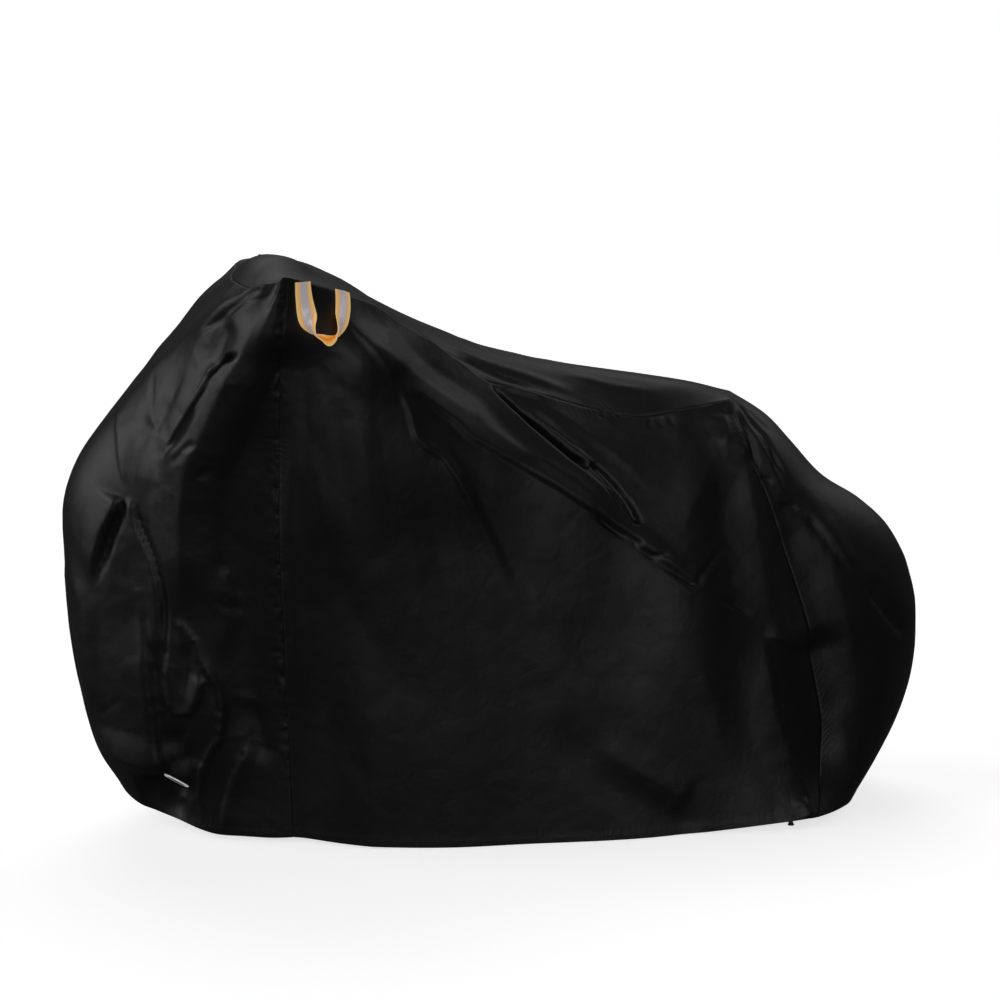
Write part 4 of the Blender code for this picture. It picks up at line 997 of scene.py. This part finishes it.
def tape_surface():
    """Silver reflective tape of fine beads, a little worn; its colour also glows as painted light."""
    material, tree, shader = surface("reflective tape", .34, metallic=.25)
    across, along = uv_of(tree, "band")
    beads = woven(across, along, BEAD, BEAD)
    wear = lumps(tree, object_place(tree), 160.0)
    emboss(tree, shader, beads * .00004 + wear * .0001)
    # painted light: glow .42 emits the tape's colour so that it looks lit
    shade(tree, shader, (.42, .39, .41), (.56, .52, .54), wear + beads * .2, glow=.42)
    return material


def steel_surface():
    """Bright steel with fine marks: its colour glows as a painted highlight, and it is painted dark inside
    the ring's mouth as painted shade.
    """
    material, tree, shader = surface("bright steel", .2, metallic=1.0)
    place = object_place(tree)
    marks = lumps(tree, place, 420.0, detail=2.0)
    feed(shader, "Roughness", marks * .18 + .12)
    x, y, z = (axis - float(middle) for axis, middle in zip(axes(tree, place), EYELET))
    rise = x * float(EYELET_AXIS[0]) + y * float(EYELET_AXIS[1]) + z * float(EYELET_AXIS[2])
    # painted shade: rim is 0 near the axis, where the dark colour stands for the shade on the ring's inner
    # wall
    rim = 1 - (x * x + y * y + z * z - rise * rise).below(RING_SHADE_RADIUS ** 2)
    # painted highlight: glow .50 makes the steel's colour shine without a lamp
    shade(tree, shader, (.03, .03, .03), (.88, .88, .88), rim * (marks * .3 + .7), glow=.50)
    return material


def cord_surface(name, colour, roughness, pitch):
    """Crossing strands that wind round an upright cord or its end."""
    material, tree, shader = surface(name, roughness)
    x, y, z = axes(tree, object_place(tree))
    plait = ((z * (TURN / pitch) + (x + y) * (TURN / STRAND)).sine()
             * (z * (TURN / pitch) - (x + y) * (TURN / STRAND)).sine())
    emboss(tree, shader, plait * .00012)
    shade(tree, shader, colour, tuple(2 * c for c in colour), plait * .5 + .5)
    return material


cloth = cloth_surface()

# ---------------------------------------------------------------- hem cord

CORD_RADIUS, CORD_OFF = .0015, .0028      # its middle lies CORD_OFF behind the cloth
# heights of its top and its foot, its place along x, and the height from which it hangs straight
CORD_TOP, CORD_FOOT, CORD_X, CORD_HANG = .0514, .0145, .5462, .0274
CORD_POINTS = 15
MERGE = .00001      # points closer than this become one
end_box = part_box("drawcord_end")
end_place = (np.array(end_box[0]) + np.array(end_box[1])) / 2


def outer_face(sheet):
    """A search tree over a sheet's outer face."""
    points = sheet.points + SHIFT
    rows, columns = points.shape[:2]
    faces = [(i * columns + j, i * columns + j + 1, (i + 1) * columns + j + 1, (i + 1) * columns + j)
             for i in range(rows - 1) for j in range(columns - 1)]
    return BVHTree.FromPolygons([Vector(p) for p in points.reshape(-1, 3)], faces)


def hem_cord():
    """The cord's line: close behind the panel, then straight down to its end."""
    side_face = outer_face(near)
    spots = []
    for z in np.linspace(CORD_TOP, CORD_FOOT, CORD_POINTS):
        spot, normal, _, _ = side_face.ray_cast(Vector((CORD_X, 0, max(z, CORD_HANG))), Vector((0, -1, 0)))
        spots.append(Vector((CORD_X, spot.y + (CLOTH + CORD_OFF) / abs(normal.y), z)))
    shift = end_place[1] - spots[-1].y
    curve = bpy.data.curves.new("hem_cord", "CURVE")
    curve.dimensions = "3D"
    line = curve.splines.new("POLY")
    line.points.add(CORD_POINTS - 1)
    for i, (point, spot) in enumerate(zip(line.points, spots)):
        spot.y += shift * smooth(i / (CORD_POINTS - 1))
        point.co = (*spot, 1)
    curve.bevel_depth = CORD_RADIUS
    curve.bevel_resolution = 4
    curve.use_fill_caps = True
    length = sum((b - a).length for a, b in zip(spots, spots[1:]))
    return new_object("hem_cord", curve), spots[0], length


def turned(name, profile, steps, place, axis):
    """A turned piece with its place in its mesh: points of radius and height, in millimetres."""
    bpy.ops.object.select_all(action="DESELECT")
    bpy.ops.mesh.primitive_plane_add(size=MM, location=(0, 0, 0), calc_uvs=False)
    piece = bpy.context.object
    piece.name = piece.data.name = name
    bpy.ops.object.mode_set(mode="EDIT")
    bpy.ops.mesh.merge(type="CENTER")      # the one point that is drawn out to the profile
    (radius, height), *rest = profile
    bpy.ops.transform.translate(value=(radius * MM, 0, height * MM))
    for to_radius, to_height in rest:
        step = ((to_radius - radius) * MM, 0, (to_height - height) * MM)
        bpy.ops.mesh.extrude_region_move(TRANSFORM_OT_translate={"value": step})
        radius, height = to_radius, to_height
    bpy.ops.mesh.select_all(action="SELECT")
    bpy.ops.mesh.spin(steps=steps, angle=TURN, center=(0, 0, 0), axis=(0, 0, 1))
    bpy.ops.mesh.select_all(action="SELECT")
    bpy.ops.mesh.remove_doubles(threshold=MERGE)
    bpy.ops.mesh.normals_make_consistent(inside=False)
    bpy.ops.mesh.faces_shade_smooth()
    bpy.ops.object.mode_set(mode="OBJECT")
    piece.location, piece.rotation_euler = place, Vector(axis).to_track_quat("Z", "Y").to_euler()
    bpy.ops.object.transform_apply(location=True, rotation=True, scale=True)
    return piece


CORD_END = ((0, 12.6), (1.6, 12.6), (2.1, 12.3), (2.4, 11.7), (3.0, 11.0), (3.5, 9.6), (3.9, 7.6), (4.6, 5.4),
            (5.6, 3.4), (6.4, 2.0), (6.6, 1.4), (6.6, .8), (6.2, .4), (5.4, .2), (4.6, .5), (4.3, 1.6),
            (0, 2.0))
# the last point closes the ring on its first
RING = ((18.0, 1.0), (17.9, -1.0), (18.1, -2.9), (18.7, -3.5), (22.0, -3.7), (25.6, -3.6), (26.4, -3.1),
        (25.8, -2.4), (20.2, -2.3), (20.2, .3), (26.5, .3), (27.2, .8), (27.1, 1.4), (26.3, 2.2), (24.8, 2.8),
        (22.8, 3.0), (20.6, 2.8), (19.0, 2.2), (18.0, 1.0))

string, string_top, string_length = hem_cord()
string.data.materials.append(cord_surface("braided cord", (.006, .006, .006), roughness=.8, pitch=.004))
bell = turned("hem_cord_end", CORD_END, 40, (end_place[0], end_place[1], SHIFT[2]), (0, 0, 1))
bell.data.materials.append(cord_surface("moulded cord end", (.005, .005, .005), roughness=.42, pitch=.02))

# ---------------------------------------------------------------- cloth, eyelet and loop

pieces = {
    "cloth_front": cloth_piece("cloth_front", front, cloth, eyelet=True),
    "cloth_side_left": cloth_piece("cloth_side_left", near, cloth),
    "cloth_side_right": cloth_piece("cloth_side_right", far, cloth),
    "cloth_top_rear": cloth_piece("cloth_top_rear", top, cloth),
}
ring = turned("eyelet_ring", RING, 96, EYELET, EYELET_AXIS)
ring.data.materials.append(steel_surface())

LOOP_STEPS = 140
# along the loop: its outer edge's x, y, z, then its inner edge's
LOOP_EDGES = (
    (-448.3, -322.7, 1122.4, -417.2, -301.6, 1120.4), (-447.3, -321.9, 1102.9, -416.6, -304.6, 1101.9),
    (-445.5, -320.9, 1083.1, -414.1, -309.1, 1082.5), (-441.9, -320.6, 1063.2, -411.8, -320.0, 1065.4),
    (-434.6, -320.3, 1045.2, -411.8, -335.7, 1049.7), (-422.7, -317.0, 1030.7, -412.3, -347.3, 1036.8),
    (-410.8, -316.0, 1023.6, -410.5, -351.2, 1024.6), (-399.9, -313.7, 1022.4, -401.3, -348.9, 1015.0),
    (-389.7, -310.8, 1023.0, -387.2, -344.6, 1004.7), (-379.5, -308.3, 1023.3, -379.9, -343.6, 1012.0),
    (-368.8, -305.1, 1024.7, -375.2, -341.7, 1025.1), (-359.3, -298.5, 1030.6, -374.2, -332.8, 1036.8),
    (-349.5, -289.9, 1039.8, -373.4, -318.5, 1049.8), (-342.3, -276.8, 1052.7, -371.7, -299.5, 1064.4),
    (-338.5, -264.5, 1067.3, -370.1, -285.2, 1078.1), (-337.7, -255.2, 1080.8, -369.2, -277.0, 1088.8),
    (-338.6, -248.2, 1093.2, -369.1, -269.9, 1103.6))


def loop_frames():
    """Places, outward faces and directions across the band, along the loop's middle line."""
    rows = np.array(LOOP_EDGES) * MM + np.concatenate((SHIFT, SHIFT))
    middle = (rows[:, :3] + rows[:, 3:]) / 2
    steps = np.linalg.norm(np.diff(middle, axis=0), axis=1)
    edges = spline(rows, np.concatenate(([0.0], np.cumsum(steps))) / steps.sum())(
        np.linspace(0, 1, LOOP_STEPS + 1))
    places = (edges[:, :3] + edges[:, 3:]) / 2
    ahead = np.gradient(places, axis=0)
    ahead /= np.linalg.norm(ahead, axis=1)[:, None]
    across = edges[:, :3] - edges[:, 3:]
    across -= np.sum(across * ahead, axis=1)[:, None] * ahead
    across /= np.linalg.norm(across, axis=1)[:, None]
    return [(Vector(p), Vector(n), Vector(c)) for p, n, c in zip(places, np.cross(across, ahead), across)]


def band(name, frames, half, lines, thick, off, material):
    """A flat band of so many lines along frames, its back face a distance off them; its UVs are metres."""
    mesh = bpy.data.meshes.new(name)
    bm = bmesh.new()
    made = bmesh.ops.create_grid(bm, x_segments=lines, y_segments=LOOP_STEPS, size=1)
    uv = bm.loops.layers.uv.new("band")
    spots, run, last = [], 0.0, frames[0][0]
    for place, normal, across in frames:
        run += (place - last).length
        last = place
        for k in range(lines + 1):
            width = half * (2 * k / lines - 1)
            spots.append((place + (off + thick) * normal + width * across, (width, run)))
    for i, vert in enumerate(made["verts"]):
        vert.co = spots[i][0]
        vert.index = i
    for face in bm.faces:
        face.smooth = True
        for loop in face.loops:
            loop[uv].uv = spots[loop.vert.index][1]
    bm.normal_update()
    bm.faces.ensure_lookup_table()
    if bm.faces[0].normal.dot(frames[0][1]) < 0:
        bmesh.ops.reverse_faces(bm, faces=bm.faces[:])
    bm.to_mesh(mesh)
    bm.free()
    piece = walled(name, mesh, material, thick)
    rounded = piece.modifiers.new("edges", "BEVEL")
    rounded.width, rounded.segments = thick * .3, 2
    return piece


frames = loop_frames()
webbing = band("loop_webbing", frames, HALF_WEBBING, 12, WEBBING, 0, webbing_surface())
tape = band("loop_tape", frames, HALF_TAPE, 6, TAPE, WEBBING + TAPE_GAP, tape_surface())

# ---------------------------------------------------------------- what each piece stands for

# piece, CAD nodes it replaces, material slot
STANDS_FOR = (
    (pieces["cloth_front"], ("front_panel", "eyelet_strip"), "cloth_black"),
    (pieces["cloth_side_left"], ("side_panel_left",), "cloth_black"),
    (pieces["cloth_side_right"], ("side_panel_right",), "cloth_black"),
    (pieces["cloth_top_rear"], ("top_rear_panel",), "cloth_black"),
    (ring, ("lock_eyelet",), "ring_steel"),
    (webbing, ("webbing_loop",), "webbing_orange"),
    (tape, ("loop_reflective_tape",), "tape_silver"),
    (string, ("drawcord",), "cord_black"),
    (bell, ("drawcord_end",), "end_black"),
)
for piece, nodes, slot in STANDS_FOR:
    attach(piece, "root")
    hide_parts(*nodes)

# ---------------------------------------------------------------- floor, light and camera

STUDIO = 14      # radius of the floor and the backdrop
SUN_SPREAD = math.radians(40)
# the way to each light and its strength
SUNS = (
    ("left", (-.903, .079, .423), .82), ("low left", (-.963, -.170, .208), .36),
    ("front", (0, -.940, .342), .58), ("behind", (0, .643, .766), .57), ("right", (.663, .383, .643), .34),
)


def studio_surface(name, roughness, specular, grey, glow):
    """A plain grey surface that also gives white light of its own."""
    material, _, shader = surface(name, roughness, specular=specular)
    for key, value in (("Base Color", (grey, grey, grey, 1)), ("Emission Color", (1, 1, 1, 1)),
                       ("Emission Strength", glow)):
        shader.inputs[key].default_value = value
    return material


bpy.ops.mesh.primitive_circle_add(vertices=96, radius=STUDIO, fill_type="NGON", location=(0, 0, 0))
floor = bpy.context.object
floor.name = "floor"
floor.data.materials.append(studio_surface("pale floor", .7, .2, .80, .70))
floor.visible_diffuse = floor.visible_glossy = False

bpy.ops.mesh.primitive_uv_sphere_add(segments=64, ring_count=32, radius=STUDIO, location=(0, 0, 0))
backdrop = bpy.context.object
backdrop.name = "backdrop"
backdrop.data.materials.append(studio_surface("white backdrop", 1.0, 0, 0, 1.0))
backdrop.visible_diffuse = backdrop.visible_glossy = backdrop.visible_shadow = False

for name, toward, strength in SUNS:
    light = bpy.data.lights.new(name, "SUN")
    light.angle, light.energy = SUN_SPREAD, strength
    new_object(name, light).rotation_euler = Vector(toward).to_track_quat("Z", "Y").to_euler()
world = bpy.data.worlds.new("studio")
world.use_nodes = True
background = world.node_tree.nodes["Background"]
background.inputs["Color"].default_value = (1, 1, 1, 1)
background.inputs["Strength"].default_value = .04
bpy.context.scene.world = world
bpy.context.scene.view_settings.view_transform = "Standard"

AZIMUTH, ELEVATION, DISTANCE, LENS = math.radians(-9.5), math.radians(10.6), 5.0, 87.84
TARGET = Vector((-.0068, .0077, .6394))
back = Vector((math.sin(AZIMUTH) * math.cos(ELEVATION), -math.cos(AZIMUTH) * math.cos(ELEVATION),
               math.sin(ELEVATION)))
view = bpy.data.cameras.new("camera")
view.sensor_width, view.lens = 36, LENS
camera = new_object("camera", view)
camera.location = TARGET + DISTANCE * back
camera.rotation_euler = back.to_track_quat("Z", "Y").to_euler()
bpy.context.scene.camera = camera
